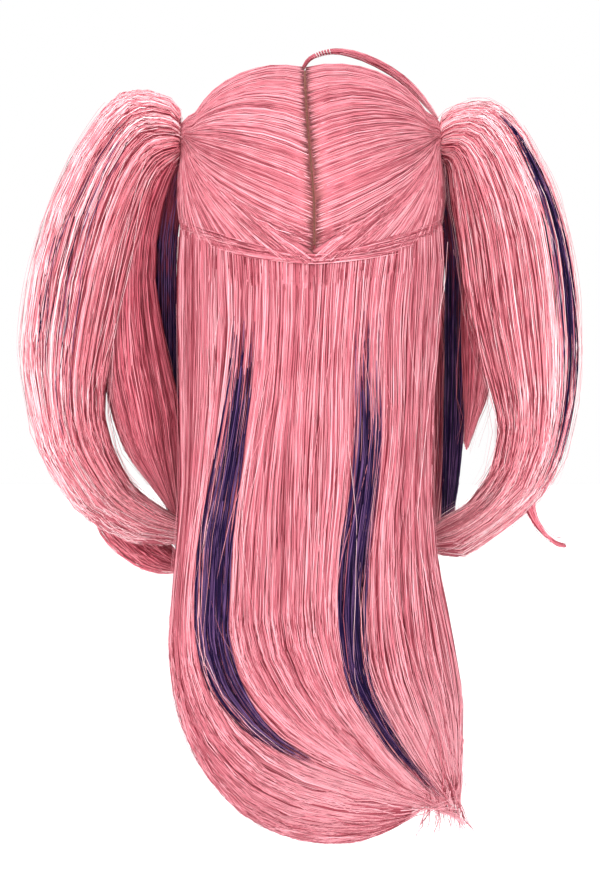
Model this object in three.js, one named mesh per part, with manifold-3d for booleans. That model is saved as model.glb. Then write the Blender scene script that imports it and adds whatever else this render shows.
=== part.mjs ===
// A pink costume wig with two high pigtails, a centre part, a long back fall with two purple streaks,
// purple side locks, a fringe and one thin antenna lock on top.
// Millimetres, +Z up, the face looks along -Y and the back of the head along +Y.
// The origin is the inside top of the cap, where the crown of the wearer's head sits.
// "left" is the wearer's left, at +X.

import * as THREE from "three";
import { mergeVertices } from "three/addons/utils/BufferGeometryUtils.js";
import Module from "manifold-3d";

const wasm = await Module();
wasm.setup();

// Driving dimensions
const CAP_WALL = 1.8;
const SEAT_GAP = 0.35;
const HEAD_HALF_WIDTH = 78;
const HEAD_HALF_DEPTH = 97;
const SKULL_RISE = 95;
const HAIR_HALF_WIDTH = 91;
const HAIR_HALF_DEPTH = 108;
const HAIR_TOP = 8;
const NAPE_TAPER = 0.12;
const SQUARENESS = 2.8;

// The three nested head forms: each is a superellipse dome over a centre level, with walls that fall below it
const CENTRE_LEVEL = -SKULL_RISE;
const CAP_INSIDE = {
  halfWidth: HEAD_HALF_WIDTH,
  halfDepth: HEAD_HALF_DEPTH,
  rise: SKULL_RISE,
};
const CAP_OUTSIDE = grownDome(CAP_INSIDE, CAP_WALL);
const SEAT = grownDome(CAP_OUTSIDE, SEAT_GAP);
const HAIR = {
  halfWidth: HAIR_HALF_WIDTH,
  halfDepth: HAIR_HALF_DEPTH,
  rise: HAIR_TOP + SKULL_RISE,
};

// Edges round the head, by azimuth in degrees from the back (0) past the left ear (90) to the face (180)
const CAP_RIM = [
  { azimuth: 0, level: -163 },
  { azimuth: 35, level: -157 },
  { azimuth: 65, level: -124 },
  { azimuth: 90, level: -116 },
  { azimuth: 112, level: -128 },
  { azimuth: 135, level: -86 },
  { azimuth: 160, level: -56 },
  { azimuth: 180, level: -51 },
];
const CROWN_EDGE = [
  { azimuth: 0, level: -132 },
  { azimuth: 30, level: -128 },
  { azimuth: 60, level: -117 },
  { azimuth: 90, level: -106 },
  { azimuth: 120, level: -92 },
  { azimuth: 145, level: -60 },
  { azimuth: 165, level: -40 },
  { azimuth: 180, level: -34 },
];

// The part slants a little: its offset from the middle plane, from the nape over the top to the forehead
const PART_OFFSET_NAPE = -2;
const PART_OFFSET_TOP = 4.5;
const PART_STRIP_HALF_WIDTH = 1.2;
const PART_STRIP_THICKNESS = 0.8;
const PART_HALF_GAP = PART_STRIP_HALF_WIDTH + SEAT_GAP;

// Where the crown hair is gathered for a pigtail
const GATHER_AZIMUTH = 83;
const GATHER_POLAR = 66;
const GATHER_TILT = 17;
const GATHER_RING = 10;
const GATHER_FULLNESS = 0.5;
const NECK_RADIUS = 7;
const NECK_FOOT = 2;
const NECK_LENGTH = 6;
const TIE_CORD_RADIUS = 1.6;

// Pigtail sections: the end points of each section line seen from behind, its depth fore and aft, and its middle
const PIGTAIL_LEFT = [
  { inX: 91.5, inZ: -49, outX: 87.5, outZ: -24, back: 13, depth: 13 },
  { inX: 92.5, inZ: -53, outX: 98, outZ: -14, back: 13, depth: 19 },
  { inX: 93, inZ: -58, outX: 119, outZ: -11.5, back: 14, depth: 24 },
  { inX: 93.5, inZ: -65, outX: 142, outZ: -22, back: 15, depth: 28 },
  { inX: 94, inZ: -77, outX: 160, outZ: -51, back: 16, depth: 32 },
  { inX: 98, inZ: -98, outX: 178, outZ: -93, back: 17, depth: 35 },
  { inX: 104, inZ: -132, outX: 189, outZ: -133, back: 16, depth: 36 },
  { inX: 110, inZ: -172, outX: 195, outZ: -176, back: 15, depth: 35 },
  { inX: 137, inZ: -216, outX: 192, outZ: -213, back: 15, depth: 29 },
  { inX: 134.5, inZ: -240, outX: 185, outZ: -247, back: 15, depth: 25 },
  { inX: 124, inZ: -264, outX: 171, outZ: -277, back: 14, depth: 21 },
  { inX: 109, inZ: -290, outX: 149, outZ: -303, back: 13, depth: 17 },
  { inX: 91, inZ: -299, outX: 114, outZ: -318, back: 12, depth: 12 },
  { inX: 75, inZ: -309, outX: 77, outZ: -317, back: 11, depth: 4 },
];
const PIGTAIL_LEFT_INNER = [
  { inX: 100, inZ: -100, outX: 132, outZ: -98, back: 4, depth: 16 },
  { inX: 103, inZ: -150, outX: 131, outZ: -156, back: 0, depth: 17 },
  { inX: 96, inZ: -196, outX: 134, outZ: -200, back: -2, depth: 16 },
  { inX: 92, inZ: -236, outX: 134, outZ: -242, back: -2, depth: 13 },
  { inX: 89, inZ: -266, outX: 117, outZ: -278, back: 0, depth: 10 },
  { inX: 87, inZ: -292, outX: 98, outZ: -301, back: 1, depth: 6 },
  { inX: 84, inZ: -303, outX: 86, outZ: -308, back: 1, depth: 2.5 },
];
const PIGTAIL_LEFT_UNDER = [
  { inX: 128, inZ: -268, outX: 152, outZ: -284, back: 2, depth: 9 },
  { inX: 116, inZ: -292, outX: 141, outZ: -312, back: -1, depth: 9 },
  { inX: 103, inZ: -310, outX: 122, outZ: -330, back: -2, depth: 8 },
  { inX: 92, inZ: -322, outX: 104, outZ: -337, back: -2, depth: 6 },
  { inX: 87, inZ: -331, outX: 90, outZ: -337, back: -2, depth: 2.5 },
];
const PIGTAIL_RIGHT = [
  { inX: -91.5, inZ: -50, outX: -88, outZ: -29, back: 13, depth: 12 },
  { inX: -92.5, inZ: -54, outX: -97, outZ: -21, back: 13, depth: 17 },
  { inX: -93, inZ: -58, outX: -111, outZ: -18.5, back: 14, depth: 21 },
  { inX: -93.5, inZ: -64, outX: -129, outZ: -24, back: 15, depth: 25 },
  { inX: -94, inZ: -76, outX: -148, outZ: -43, back: 16, depth: 28 },
  { inX: -97, inZ: -98, outX: -166, outZ: -83, back: 17, depth: 32 },
  { inX: -100.5, inZ: -127, outX: -175, outZ: -127, back: 16, depth: 33 },
  { inX: -106, inZ: -159, outX: -180.5, outZ: -164, back: 16, depth: 32 },
  { inX: -116, inZ: -194, outX: -181, outZ: -198, back: 15, depth: 29 },
  { inX: -125, inZ: -227, outX: -175, outZ: -233, back: 15, depth: 25 },
  { inX: -126, inZ: -257, outX: -166, outZ: -267, back: 15, depth: 21 },
  { inX: -118, inZ: -279, outX: -151, outZ: -296, back: 14, depth: 18 },
  { inX: -102, inZ: -294, outX: -126, outZ: -315, back: 13, depth: 15 },
  { inX: -88, inZ: -300, outX: -101, outZ: -327, back: 12, depth: 12 },
  { inX: -74, inZ: -313, outX: -76, outZ: -322, back: 11, depth: 4 },
];
const PIGTAIL_RIGHT_INNER = [
  { inX: -101, inZ: -100, outX: -132, outZ: -98, back: 4, depth: 15 },
  { inX: -103, inZ: -140, outX: -130, outZ: -143, back: 0, depth: 15 },
  { inX: -103, inZ: -176, outX: -126, outZ: -181, back: -1, depth: 13 },
  { inX: -101, inZ: -208, outX: -120, outZ: -217, back: -1, depth: 10 },
  { inX: -100, inZ: -237, outX: -108, outZ: -243, back: 0, depth: 6 },
  { inX: -98, inZ: -257, outX: -100, outZ: -260, back: 0, depth: 2.5 },
];
const PIGTAIL_SIDES = 24;
const PIGTAIL_STEPS = 19;
const LOBE_SIDES = 9;
const BUNDLE_FLUTES = { count: 6, depth: 0.06, drift: 0.25 };
const LOBE_FLUTES = { count: 3, depth: 0.06, drift: 0.4 };

// A purple streak on each pigtail: how far round the section it lies from the outer end towards the back,
// which stretch of the pigtail's rows it follows, and its half width and half thickness
const PIGTAIL_STREAKS = {
  left: { round: 62, from: 4.6, to: 12.4, halfWidth: 2.4, halfThickness: 2 },
  right: { round: 38, from: 4.2, to: 12, halfWidth: 5, halfThickness: 2.4 },
};
const STREAK_STEPS = 9;
const STREAK_SIDES = 8;
const STREAK_SINK = 0.5;

// The back fall by level at its middle: how much higher its edges lie, its left and right edges, how far back its
// middle and its edges lie, how thick it is, and how far the locks have swept towards the wearer's right
const BACK_FALL = [
  { level: -126, lift: 22, left: 88, right: -88, middle: 105, edge: 12, thick: 12, sweep: 0 },
  { level: -150, lift: 16, left: 90, right: -89, middle: 108, edge: 13, thick: 12, sweep: 0 },
  { level: -172, lift: 9, left: 90.5, right: -88, middle: 109, edge: 16, thick: 11, sweep: 0 },
  { level: -205, lift: 3, left: 89, right: -84.5, middle: 109, edge: 24, thick: 11, sweep: 0 },
  { level: -245, lift: 0, left: 88, right: -82.5, middle: 107, edge: 32, thick: 12, sweep: 0 },
  { level: -286, lift: 0, left: 88, right: -81, middle: 105, edge: 38, thick: 13, sweep: 0 },
  { level: -325, lift: 0, left: 91, right: -84.5, middle: 105, edge: 42, thick: 14, sweep: 0 },
  { level: -352, lift: 0, left: 93.5, right: -90, middle: 106, edge: 45, thick: 15, sweep: 2 },
  { level: -384, lift: 0, left: 95.5, right: -96, middle: 107, edge: 48, thick: 16, sweep: 6 },
  { level: -417, lift: 0, left: 92, right: -101, middle: 107, edge: 52, thick: 16, sweep: 18 },
  { level: -443, lift: 0, left: 84.5, right: -101.5, middle: 105, edge: 56, thick: 15, sweep: 36 },
  { level: -469, lift: 0, left: 71, right: -96, middle: 101, edge: 60, thick: 14, sweep: 60 },
  { level: -489, lift: 0, left: 54, right: -86, middle: 96, edge: 65, thick: 12, sweep: 84 },
  { level: -504, lift: 0, left: 32, right: -54, middle: 90, edge: 72, thick: 9, sweep: 106 },
  { level: -511, lift: 0, left: 5, right: -27, middle: 86, edge: 79, thick: 5, sweep: 116 },
];
const FALL_COLUMNS = 21;
const FALL_LOCK_PITCH = 28;
const FALL_LOCK_DEPTH = 1.5;

// Pointed tips of the fall's longest locks: where each leaves the fall and where it ends
const FALL_TIPS = [
  { fromX: -80, fromZ: -420, toX: -96, toZ: -490, halfWidth: 12, halfThickness: 5 },
  { fromX: -52, fromZ: -445, toX: -79, toZ: -502, halfWidth: 13, halfThickness: 5 },
  { fromX: -5, fromZ: -460, toX: -45, toZ: -512, halfWidth: 14, halfThickness: 5 },
];
const TIP_STEPS = 5;
const TIP_SIDES = 8;
const TIP_SINK = 6;
const TIP_LOWEST = -480;

// Purple streaks in the back fall: middle line and half width by level
const BACK_STREAKS = {
  left: [
    { x: 41.5, level: -172, halfWidth: 1 },
    { x: 45.5, level: -208, halfWidth: 5 },
    { x: 54, level: -260, halfWidth: 8.8 },
    { x: 62.5, level: -312, halfWidth: 10.5 },
    { x: 65, level: -351, halfWidth: 11.2 },
    { x: 65, level: -377, halfWidth: 11 },
    { x: 58.5, level: -403, halfWidth: 10.5 },
    { x: 48, level: -421, halfWidth: 8.5 },
    { x: 34, level: -437, halfWidth: 6 },
    { x: 21, level: -448, halfWidth: 3.6 },
    { x: 9, level: -454, halfWidth: 1 },
  ],
  right: [
    { x: -37, level: -175, halfWidth: 1 },
    { x: -36.5, level: -201, halfWidth: 5 },
    { x: -37, level: -240, halfWidth: 7.4 },
    { x: -34, level: -280, halfWidth: 7.8 },
    { x: -28, level: -322, halfWidth: 9 },
    { x: -26, level: -365, halfWidth: 8.4 },
    { x: -30.5, level: -403, halfWidth: 7.5 },
    { x: -43.5, level: -430, halfWidth: 5.4 },
    { x: -56, level: -450, halfWidth: 4.4 },
    { x: -71, level: -468, halfWidth: 3 },
    { x: -82, level: -476, halfWidth: 1 },
  ],
};
const BACK_STREAK_HALF_THICKNESS = 2.6;
const BACK_STREAK_SINK = 1.2;

// Side locks in front of the ears, given for the left and mirrored
const PURPLE_LOCK = [
  { x: 82.5, y: -13, z: -103, halfWidth: 5, halfThickness: 3.4 },
  { x: 88, y: -17, z: -125, halfWidth: 7, halfThickness: 4 },
  { x: 97, y: -24, z: -165, halfWidth: 8.5, halfThickness: 5 },
  { x: 98.5, y: -28, z: -215, halfWidth: 9, halfThickness: 5 },
  { x: 97, y: -29, z: -262, halfWidth: 8, halfThickness: 4.6 },
  { x: 94, y: -28, z: -300, halfWidth: 5.5, halfThickness: 3.4 },
  { x: 91, y: -27, z: -324, halfWidth: 1.2, halfThickness: 1 },
];
const SIDE_LOCK = [
  { x: 73, y: -47, z: -94, halfWidth: 9, halfThickness: 3.6 },
  { x: 78, y: -50, z: -120, halfWidth: 11, halfThickness: 4.2 },
  { x: 86, y: -57, z: -165, halfWidth: 12, halfThickness: 5.5 },
  { x: 88, y: -61, z: -220, halfWidth: 12, halfThickness: 6 },
  { x: 87, y: -63, z: -272, halfWidth: 10, halfThickness: 5.4 },
  { x: 84, y: -62, z: -315, halfWidth: 6.5, halfThickness: 4 },
  { x: 81, y: -60, z: -345, halfWidth: 1.2, halfThickness: 1 },
];
const SIDE_LOCK_TURN = 52;
const PURPLE_LOCK_TURN = 20;
const SIDE_LOCK_SIDES = 10;

// The fringe over the forehead: pointed locks side by side, hung below the crown's front edge
const FRINGE_FROM = 128;
const FRINGE_TO = 232;
const FRINGE_LOCKS = 7;
const FRINGE_COLUMNS_PER_LOCK = 4;
const FRINGE_ROWS = 4;
const FRINGE_NOTCH_LEVEL = -72;
const FRINGE_TIP_LEVEL = -92;
const FRINGE_END_DROP = 16;
const FRINGE_FULLNESS = 0.55;
const FRINGE_SINK = 0.15;
const FRINGE_LOCK_DEPTH = 1.4;
const FRINGE_TUCK = 6;

// The antenna lock: root in the part, an arch above the crown, tip by the right tie
const ANTENNA_LOCK = [
  { x: 4.4, y: -3, z: 3.5, halfWidth: 0.9, halfThickness: 0.9 },
  { x: 3.6, y: -3, z: 8.4, halfWidth: 1.2, halfThickness: 1.1 },
  { x: -1, y: -3, z: 13.6, halfWidth: 1.4, halfThickness: 1.3 },
  { x: -9, y: -2, z: 16.8, halfWidth: 1.7, halfThickness: 1.4 },
  { x: -19, y: -1, z: 17.4, halfWidth: 2.2, halfThickness: 1.5 },
  { x: -33, y: 1, z: 14.4, halfWidth: 3, halfThickness: 1.7 },
  { x: -49, y: 3, z: 7.2, halfWidth: 3.2, halfThickness: 1.8 },
  { x: -64, y: 5, z: -3.2, halfWidth: 3, halfThickness: 1.7 },
  { x: -76.5, y: 6, z: -16.5, halfWidth: 2.4, halfThickness: 1.5 },
  { x: -86, y: 7, z: -29.5, halfWidth: 0.8, halfThickness: 0.7 },
];
const ANTENNA_SIDES = 8;

const CAP_COLUMNS = 30;
const CAP_ROWS = 7;
const CROWN_COLUMNS = 36;
const EDGE_GAP = 0.8;
const PART_ROWS = 16;
const CROWN_FLOW = [0, 0.03, 0.1, 0.25, 0.5, 0.78, 1];
const CROWN_LIP = 2.4;
const CROWN_EDGE_FULLNESS = 0.62;
const CROWN_LOCKS = 12;
const CROWN_LOCK_DEPTH = 0.09;

const PINK = { color: 0xe88e9c, roughness: 0.45, metalness: 0 };
const PURPLE = { color: 0x3a2350, roughness: 0.4, metalness: 0 };
const NET = { color: 0x9a6a5c, roughness: 0.85, metalness: 0 };
const ELASTIC = { color: 0xb85a6c, roughness: 0.8, metalness: 0 };

// Head forms

function grownDome(dome, by) {
  return {
    halfWidth: dome.halfWidth + by,
    halfDepth: dome.halfDepth + by,
    rise: dome.rise + by,
  };
}

function direction(azimuth, polar) {
  return new THREE.Vector3(
    Math.sin(polar) * Math.sin(azimuth),
    Math.sin(polar) * Math.cos(azimuth),
    Math.cos(polar),
  );
}

// The point of a dome that lies in a direction from the middle of the head
function domePoint(dome, way) {
  const polar = Math.acos(THREE.MathUtils.clamp(way.z, -1, 1));
  const azimuth = Math.atan2(way.x, way.y);
  const power = 2 / SQUARENESS;
  const below = Math.max(polar - Math.PI / 2, 0);
  const level = below > 0 ? -below : Math.cos(polar) ** power;
  const spread = below > 0 ? 1 - NAPE_TAPER * below ** 2 : Math.sin(polar) ** power;
  return new THREE.Vector3(
    dome.halfWidth * spread * Math.sin(azimuth),
    dome.halfDepth * spread * Math.cos(azimuth),
    CENTRE_LEVEL + dome.rise * level,
  );
}

function polarAtLevel(dome, level) {
  const height = (level - CENTRE_LEVEL) / dome.rise;
  return height > 0 ? Math.acos(height ** (SQUARENESS / 2)) : Math.PI / 2 - height;
}

// A point between the seat on the cap (0) and the full hair form (1)
function hairPoint(way, fullness) {
  return domePoint(SEAT, way).lerp(domePoint(HAIR, way), fullness);
}

// Tables: a smooth value of one column at a place counted in rows

function columnAt(rows, column, place) {
  const last = rows.length - 1;
  const row = Math.min(Math.floor(place), last - 1);
  const share = place - row;
  const value = (index) => rows[THREE.MathUtils.clamp(index, 0, last)][column];
  const [before, start, end, after] = [row - 1, row, row + 1, row + 2].map(value);
  const startSlope = (end - before) / 2;
  const endSlope = (after - start) / 2;
  const square = share * share;
  const cube = square * share;
  return (
    (2 * cube - 3 * square + 1) * start +
    (cube - 2 * square + share) * startSlope +
    (3 * square - 2 * cube) * end +
    (cube - square) * endSlope
  );
}

function rowAt(rows, place) {
  const columns = Object.keys(rows[0]);
  return Object.fromEntries(columns.map((column) => [column, columnAt(rows, column, place)]));
}

// The place, in rows, where a falling or rising key column reaches a value
function placeOf(rows, key, value) {
  const rising = rows[1][key] > rows[0][key];
  const past = rows.findIndex((row) => (rising ? row[key] >= value : row[key] <= value));
  if (past < 0) return rows.length - 1;
  if (past === 0) return 0;
  const [from, to] = [rows[past - 1][key], rows[past][key]];
  return past - 1 + (value - from) / (to - from);
}

function edgeLevel(edge, azimuthDegrees) {
  const folded = azimuthDegrees > 180 ? 360 - azimuthDegrees : azimuthDegrees;
  return columnAt(edge, "level", placeOf(edge, "azimuth", folded));
}

// Meshes

function signedVolume(points, triangles) {
  return triangles.reduce((sum, [a, b, c]) => {
    const cross = new THREE.Vector3().crossVectors(points[b], points[c]);
    return sum + points[a].dot(cross) / 6;
  }, 0);
}

// A closed mesh whose faces point out, from points and triangles in either winding
function closedMesh(points, triangles) {
  const outward = signedVolume(points, triangles) > 0;
  const index = triangles.flatMap(([a, b, c]) => (outward ? [a, b, c] : [a, c, b]));
  const geometry = new THREE.BufferGeometry().setFromPoints(points);
  geometry.setIndex(index);
  return geometry;
}

// Joins closed rings of points, one after another, and closes both ends with a fan
function loft(rings) {
  const count = rings[0].length;
  const points = rings.flat();
  const triangles = [];
  for (let row = 0; row + 1 < rings.length; row++) {
    for (let column = 0; column < count; column++) {
      const next = (column + 1) % count;
      const [a, b] = [row * count + column, row * count + next];
      const [c, d] = [a + count, b + count];
      triangles.push([a, b, d], [a, d, c]);
    }
  }
  for (const [ring, start, turned] of [
    [rings[0], 0, true],
    [rings.at(-1), (rings.length - 1) * count, false],
  ]) {
    const middle = points.length;
    const sum = ring.reduce((total, point) => total.add(point), new THREE.Vector3());
    points.push(sum.divideScalar(count));
    for (let column = 0; column < count; column++) {
      const [a, b] = [start + column, start + ((column + 1) % count)];
      triangles.push(turned ? [middle, b, a] : [middle, a, b]);
    }
  }
  return closedMesh(points, triangles);
}

function solidOf(geometry) {
  const bare = new THREE.BufferGeometry();
  bare.setAttribute("position", geometry.getAttribute("position"));
  bare.setIndex(geometry.index);
  const merged = mergeVertices(bare, 1e-4);
  return new wasm.Manifold(
    new wasm.Mesh({
      numProp: 3,
      vertProperties: new Float32Array(merged.attributes.position.array),
      triVerts: new Uint32Array(merged.index.array),
    }),
  );
}

function geometryOf(solid) {
  const mesh = solid.getMesh();
  const geometry = new THREE.BufferGeometry();
  geometry.setAttribute("position", new THREE.BufferAttribute(mesh.vertProperties, 3));
  geometry.setIndex(new THREE.BufferAttribute(mesh.triVerts, 1));
  return geometry;
}

function fused(geometries) {
  return geometryOf(geometries.map(solidOf).reduce((whole, piece) => whole.add(piece)));
}

function cutBy(geometry, cutters) {
  return geometryOf(cutters.reduce((rest, cutter) => rest.subtract(solidOf(cutter)), solidOf(geometry)));
}

function named(name, geometry, finish) {
  const flat = geometry.toNonIndexed();
  flat.computeVertexNormals();
  const mesh = new THREE.Mesh(flat, new THREE.MeshStandardMaterial(finish));
  mesh.name = name;
  return mesh;
}

// A point of an oval section, and a ring of them
function ovalPoint(centre, across, through, turn, size) {
  return centre
    .clone()
    .addScaledVector(across, Math.cos(turn) * size)
    .addScaledVector(through, Math.sin(turn) * size);
}

function ovalRing(centre, across, through, sides, swell = () => 1) {
  return Array.from({ length: sides }, (_, side) => {
    const turn = (2 * Math.PI * side) / sides;
    return ovalPoint(centre, across, through, turn, swell(turn));
  });
}

// Shells round the head

// Rings of points on a surface round the head, from near the top down to an edge, which is let down by a small gap
function headRings(surface, edge, columns, gap = 0) {
  return Array.from({ length: CAP_ROWS }, (_, row) =>
    Array.from({ length: columns }, (_, column) => {
      const degrees = (360 * column) / columns;
      const polar = polarAtLevel(HAIR, edgeLevel(edge, degrees)) + gap / HAIR_HALF_WIDTH;
      return surface(direction(THREE.MathUtils.degToRad(degrees), (polar * (row + 1)) / CAP_ROWS));
    }),
  );
}

function capShell() {
  const outside = headRings((way) => domePoint(CAP_OUTSIDE, way), CAP_RIM, CAP_COLUMNS);
  const inside = headRings((way) => domePoint(CAP_INSIDE, way), CAP_RIM, CAP_COLUMNS);
  return loft([...outside, ...inside.reverse()]);
}

// What hair laid on the cap must keep clear of: the cap itself, grown by the seat gap and filled
function capClearance() {
  return loft(headRings((way) => domePoint(SEAT, way), CAP_RIM, CAP_COLUMNS, SEAT_GAP));
}

// What hair hung below the crown must keep clear of: everything above the crown's lower edge
function crownClearance() {
  const outside = headRings((way) => hairPoint(way, 2), CROWN_EDGE, CROWN_COLUMNS, EDGE_GAP);
  const inside = headRings((way) => hairPoint(way, -1.5), CROWN_EDGE, CROWN_COLUMNS, EDGE_GAP);
  return loft([...outside, ...inside.reverse()]);
}

// Part

// A direction on the part: turn 0 is level at the back, a quarter turn is the top, a half turn is level in front
function partDirection(turn, offset) {
  const slant = (1 - Math.sin(Math.max(turn, 0))) ** 2;
  const middle = turn < Math.PI / 2 ? slant : 0;
  const reach = (THREE.MathUtils.lerp(PART_OFFSET_TOP, PART_OFFSET_NAPE, middle) + offset) / HAIR_HALF_WIDTH;
  const way = new THREE.Vector3(reach, Math.cos(turn), Math.sin(turn));
  for (let pass = 0; pass < 6 && turn > 0; pass++) {
    way.x = reach * Math.hypot(way.x, way.y) ** (1 - 2 / SQUARENESS);
  }
  return way.normalize();
}

function partTurns(count) {
  const back = Math.PI / 2 - polarAtLevel(HAIR, edgeLevel(CROWN_EDGE, 0));
  const front = Math.PI / 2 + polarAtLevel(HAIR, edgeLevel(CROWN_EDGE, 180));
  return Array.from({ length: count }, (_, row) => back + ((front - back) * row) / (count - 1));
}

function partStrip() {
  const rings = partTurns(PART_ROWS).map((turn) => {
    const [left, right] = [PART_STRIP_HALF_WIDTH, -PART_STRIP_HALF_WIDTH].map((offset) =>
      partDirection(turn, offset),
    );
    const top = grownDome(SEAT, PART_STRIP_THICKNESS);
    const deep = grownDome(SEAT, -PART_STRIP_THICKNESS);
    return [domePoint(deep, left), domePoint(top, left), domePoint(top, right), domePoint(deep, right)];
  });
  return cutBy(loft(rings), [capClearance()]);
}

// Crown

// The gathering point of one side, with the way out of the head and two ways along its surface
function gather(side) {
  const way = direction(
    THREE.MathUtils.degToRad(GATHER_AZIMUTH * side),
    THREE.MathUtils.degToRad(GATHER_POLAR),
  );
  const point = hairPoint(way, GATHER_FULLNESS);
  const tilt = THREE.MathUtils.degToRad(GATHER_TILT);
  const out = new THREE.Vector3(side * Math.cos(tilt), 0, Math.sin(tilt));
  const up = new THREE.Vector3(-side * Math.sin(tilt), 0, Math.cos(tilt));
  const back = new THREE.Vector3(0, 1, 0);
  return { way, point, out, back, up };
}

// The outline of one crown half as directions, with how thick the hair is there: along the part, then the lower edge
function crownOutline(side) {
  const outline = partTurns(PART_ROWS).map((turn) => ({
    way: partDirection(turn, PART_HALF_GAP * side),
    lip: true,
  }));
  for (let column = 1; column < CROWN_COLUMNS / 2; column++) {
    const degrees = 180 - (360 * column) / CROWN_COLUMNS;
    const polar = polarAtLevel(HAIR, edgeLevel(CROWN_EDGE, degrees));
    outline.push({ way: direction(THREE.MathUtils.degToRad(degrees) * side, polar), lip: false });
  }
  return outline;
}

function crownHalf(side) {
  const base = gather(side);
  const outline = crownOutline(side);
  const share = (way) => 1 - GATHER_RING / HAIR_HALF_WIDTH / way.angleTo(base.way);
  const along = (way, flow) => {
    const angle = way.angleTo(base.way);
    const reach = flow * share(way);
    const start = way.clone().multiplyScalar(Math.sin((1 - reach) * angle));
    const end = base.way.clone().multiplyScalar(Math.sin(reach * angle));
    return start.add(end).normalize();
  };
  const fullness = (mark, flow, index) => {
    const edge = mark.lip ? CROWN_LIP / (HAIR_HALF_WIDTH - SEAT.halfWidth) : CROWN_EDGE_FULLNESS;
    const rise = THREE.MathUtils.smoothstep(flow, -0.03, 0.12);
    const fall = THREE.MathUtils.smoothstep(flow, 0.55, 1);
    const ripple = Math.cos((2 * Math.PI * CROWN_LOCKS * index) / outline.length) * CROWN_LOCK_DEPTH;
    const full = THREE.MathUtils.lerp(edge, 1, rise);
    return THREE.MathUtils.lerp(full, GATHER_FULLNESS, fall) + ripple * rise * (1 - fall);
  };
  const neckRing = (radius, height) =>
    outline.map(({ way }) => {
      const towards = hairPoint(along(way, 1), GATHER_FULLNESS).sub(base.point);
      const turn = Math.atan2(towards.dot(base.up), towards.dot(base.back));
      return base.point
        .clone()
        .addScaledVector(base.out, height)
        .addScaledVector(base.back, radius * Math.cos(turn))
        .addScaledVector(base.up, radius * Math.sin(turn));
    });
  const outside = CROWN_FLOW.map((flow) =>
    outline.map((mark, index) => hairPoint(along(mark.way, flow), fullness(mark, flow, index))),
  );
  const inside = CROWN_FLOW.map((flow) => outline.map(({ way }) => hairPoint(along(way, flow), -0.4)));
  const neck = [neckRing(NECK_RADIUS, NECK_FOOT), neckRing(NECK_RADIUS, NECK_LENGTH)];
  return cutBy(loft([...inside.reverse(), ...outside, ...neck]), [capClearance()]);
}

function tie(side) {
  const base = gather(side);
  const ring = new THREE.TorusGeometry(NECK_RADIUS + TIE_CORD_RADIUS + SEAT_GAP, TIE_CORD_RADIUS, 6, 18);
  const turned = new THREE.Quaternion().setFromUnitVectors(new THREE.Vector3(0, 0, 1), base.out);
  const height = NECK_FOOT + TIE_CORD_RADIUS + SEAT_GAP;
  const centre = base.point.clone().addScaledVector(base.out, height);
  const mesh = named(`tie_${side > 0 ? "left" : "right"}`, ring, ELASTIC);
  mesh.quaternion.copy(turned);
  mesh.position.copy(centre);
  return mesh;
}

// Pigtails

function pigtailSection(rows, place) {
  const row = rowAt(rows, place);
  const inner = new THREE.Vector3(row.inX, row.back, row.inZ);
  const outer = new THREE.Vector3(row.outX, row.back, row.outZ);
  return {
    centre: inner.clone().lerp(outer, 0.5),
    across: outer.clone().sub(inner).multiplyScalar(0.5),
    through: new THREE.Vector3(0, row.depth, 0),
  };
}

// The pigtail's rows with one more in front: where it leaves the neck of gathered hair
function fromNeck(rows, side) {
  const base = gather(side);
  const centre = base.point.clone().addScaledVector(base.out, NECK_LENGTH + SEAT_GAP);
  const inner = centre.clone().addScaledVector(base.up, -NECK_RADIUS);
  const outer = centre.clone().addScaledVector(base.up, NECK_RADIUS);
  const first = { inX: inner.x, inZ: inner.z, outX: outer.x, outZ: outer.z, back: centre.y, depth: NECK_RADIUS };
  return [first, ...rows];
}

function pigtailLoft(rows, sides, steps, flutes) {
  const rings = Array.from({ length: steps + 1 }, (_, step) => {
    const place = (step * (rows.length - 1)) / steps;
    const section = pigtailSection(rows, place);
    const swell = (turn) => fluteSwell(flutes, turn, place);
    return ovalRing(section.centre, section.across, section.through, sides, swell);
  });
  return loft(rings);
}

// How far a fluted section stands out at a turn; the flutes wind slowly round the pigtail
function fluteSwell(flutes, turn, place) {
  return 1 + flutes.depth * Math.cos(flutes.count * turn + place * flutes.drift);
}

// A streak lies on the pigtail's surface, round from its outer end towards the back
function pigtailStreak(rows, streak, clearance) {
  const turn = THREE.MathUtils.degToRad(streak.round);
  const rings = Array.from({ length: STREAK_STEPS + 1 }, (_, step) => {
    const share = step / STREAK_STEPS;
    const place = THREE.MathUtils.lerp(streak.from, streak.to, share);
    const { centre, across, through } = pigtailSection(rows, place);
    const slope = across
      .clone()
      .multiplyScalar(-Math.sin(turn))
      .addScaledVector(through, Math.cos(turn))
      .normalize();
    const axis = new THREE.Vector3().crossVectors(across, through);
    const out = new THREE.Vector3().crossVectors(slope, axis).normalize();
    const surface = ovalPoint(centre, across, through, turn, fluteSwell(BUNDLE_FLUTES, turn, place));
    if (out.dot(surface.clone().sub(centre)) < 0) out.negate();
    const taper = Math.sin(Math.PI * THREE.MathUtils.lerp(0.06, 0.94, share)) ** 0.7;
    const halfWidth = streak.halfWidth * taper + clearance;
    const halfThickness = streak.halfThickness * taper + clearance;
    return ovalRing(
      surface.addScaledVector(out, -STREAK_SINK),
      slope.multiplyScalar(halfWidth),
      out.multiplyScalar(halfThickness),
      STREAK_SIDES,
    );
  });
  return loft(rings);
}


function pigtail(rows, lobes, streak) {
  const bundle = fused([
    pigtailLoft(rows, PIGTAIL_SIDES, PIGTAIL_STEPS, BUNDLE_FLUTES),
    ...lobes.map((lobe) => pigtailLoft(lobe, LOBE_SIDES, lobe.length, LOBE_FLUTES)),
  ]);
  return cutBy(bundle, [pigtailStreak(rows, streak, SEAT_GAP)]);
}

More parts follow.
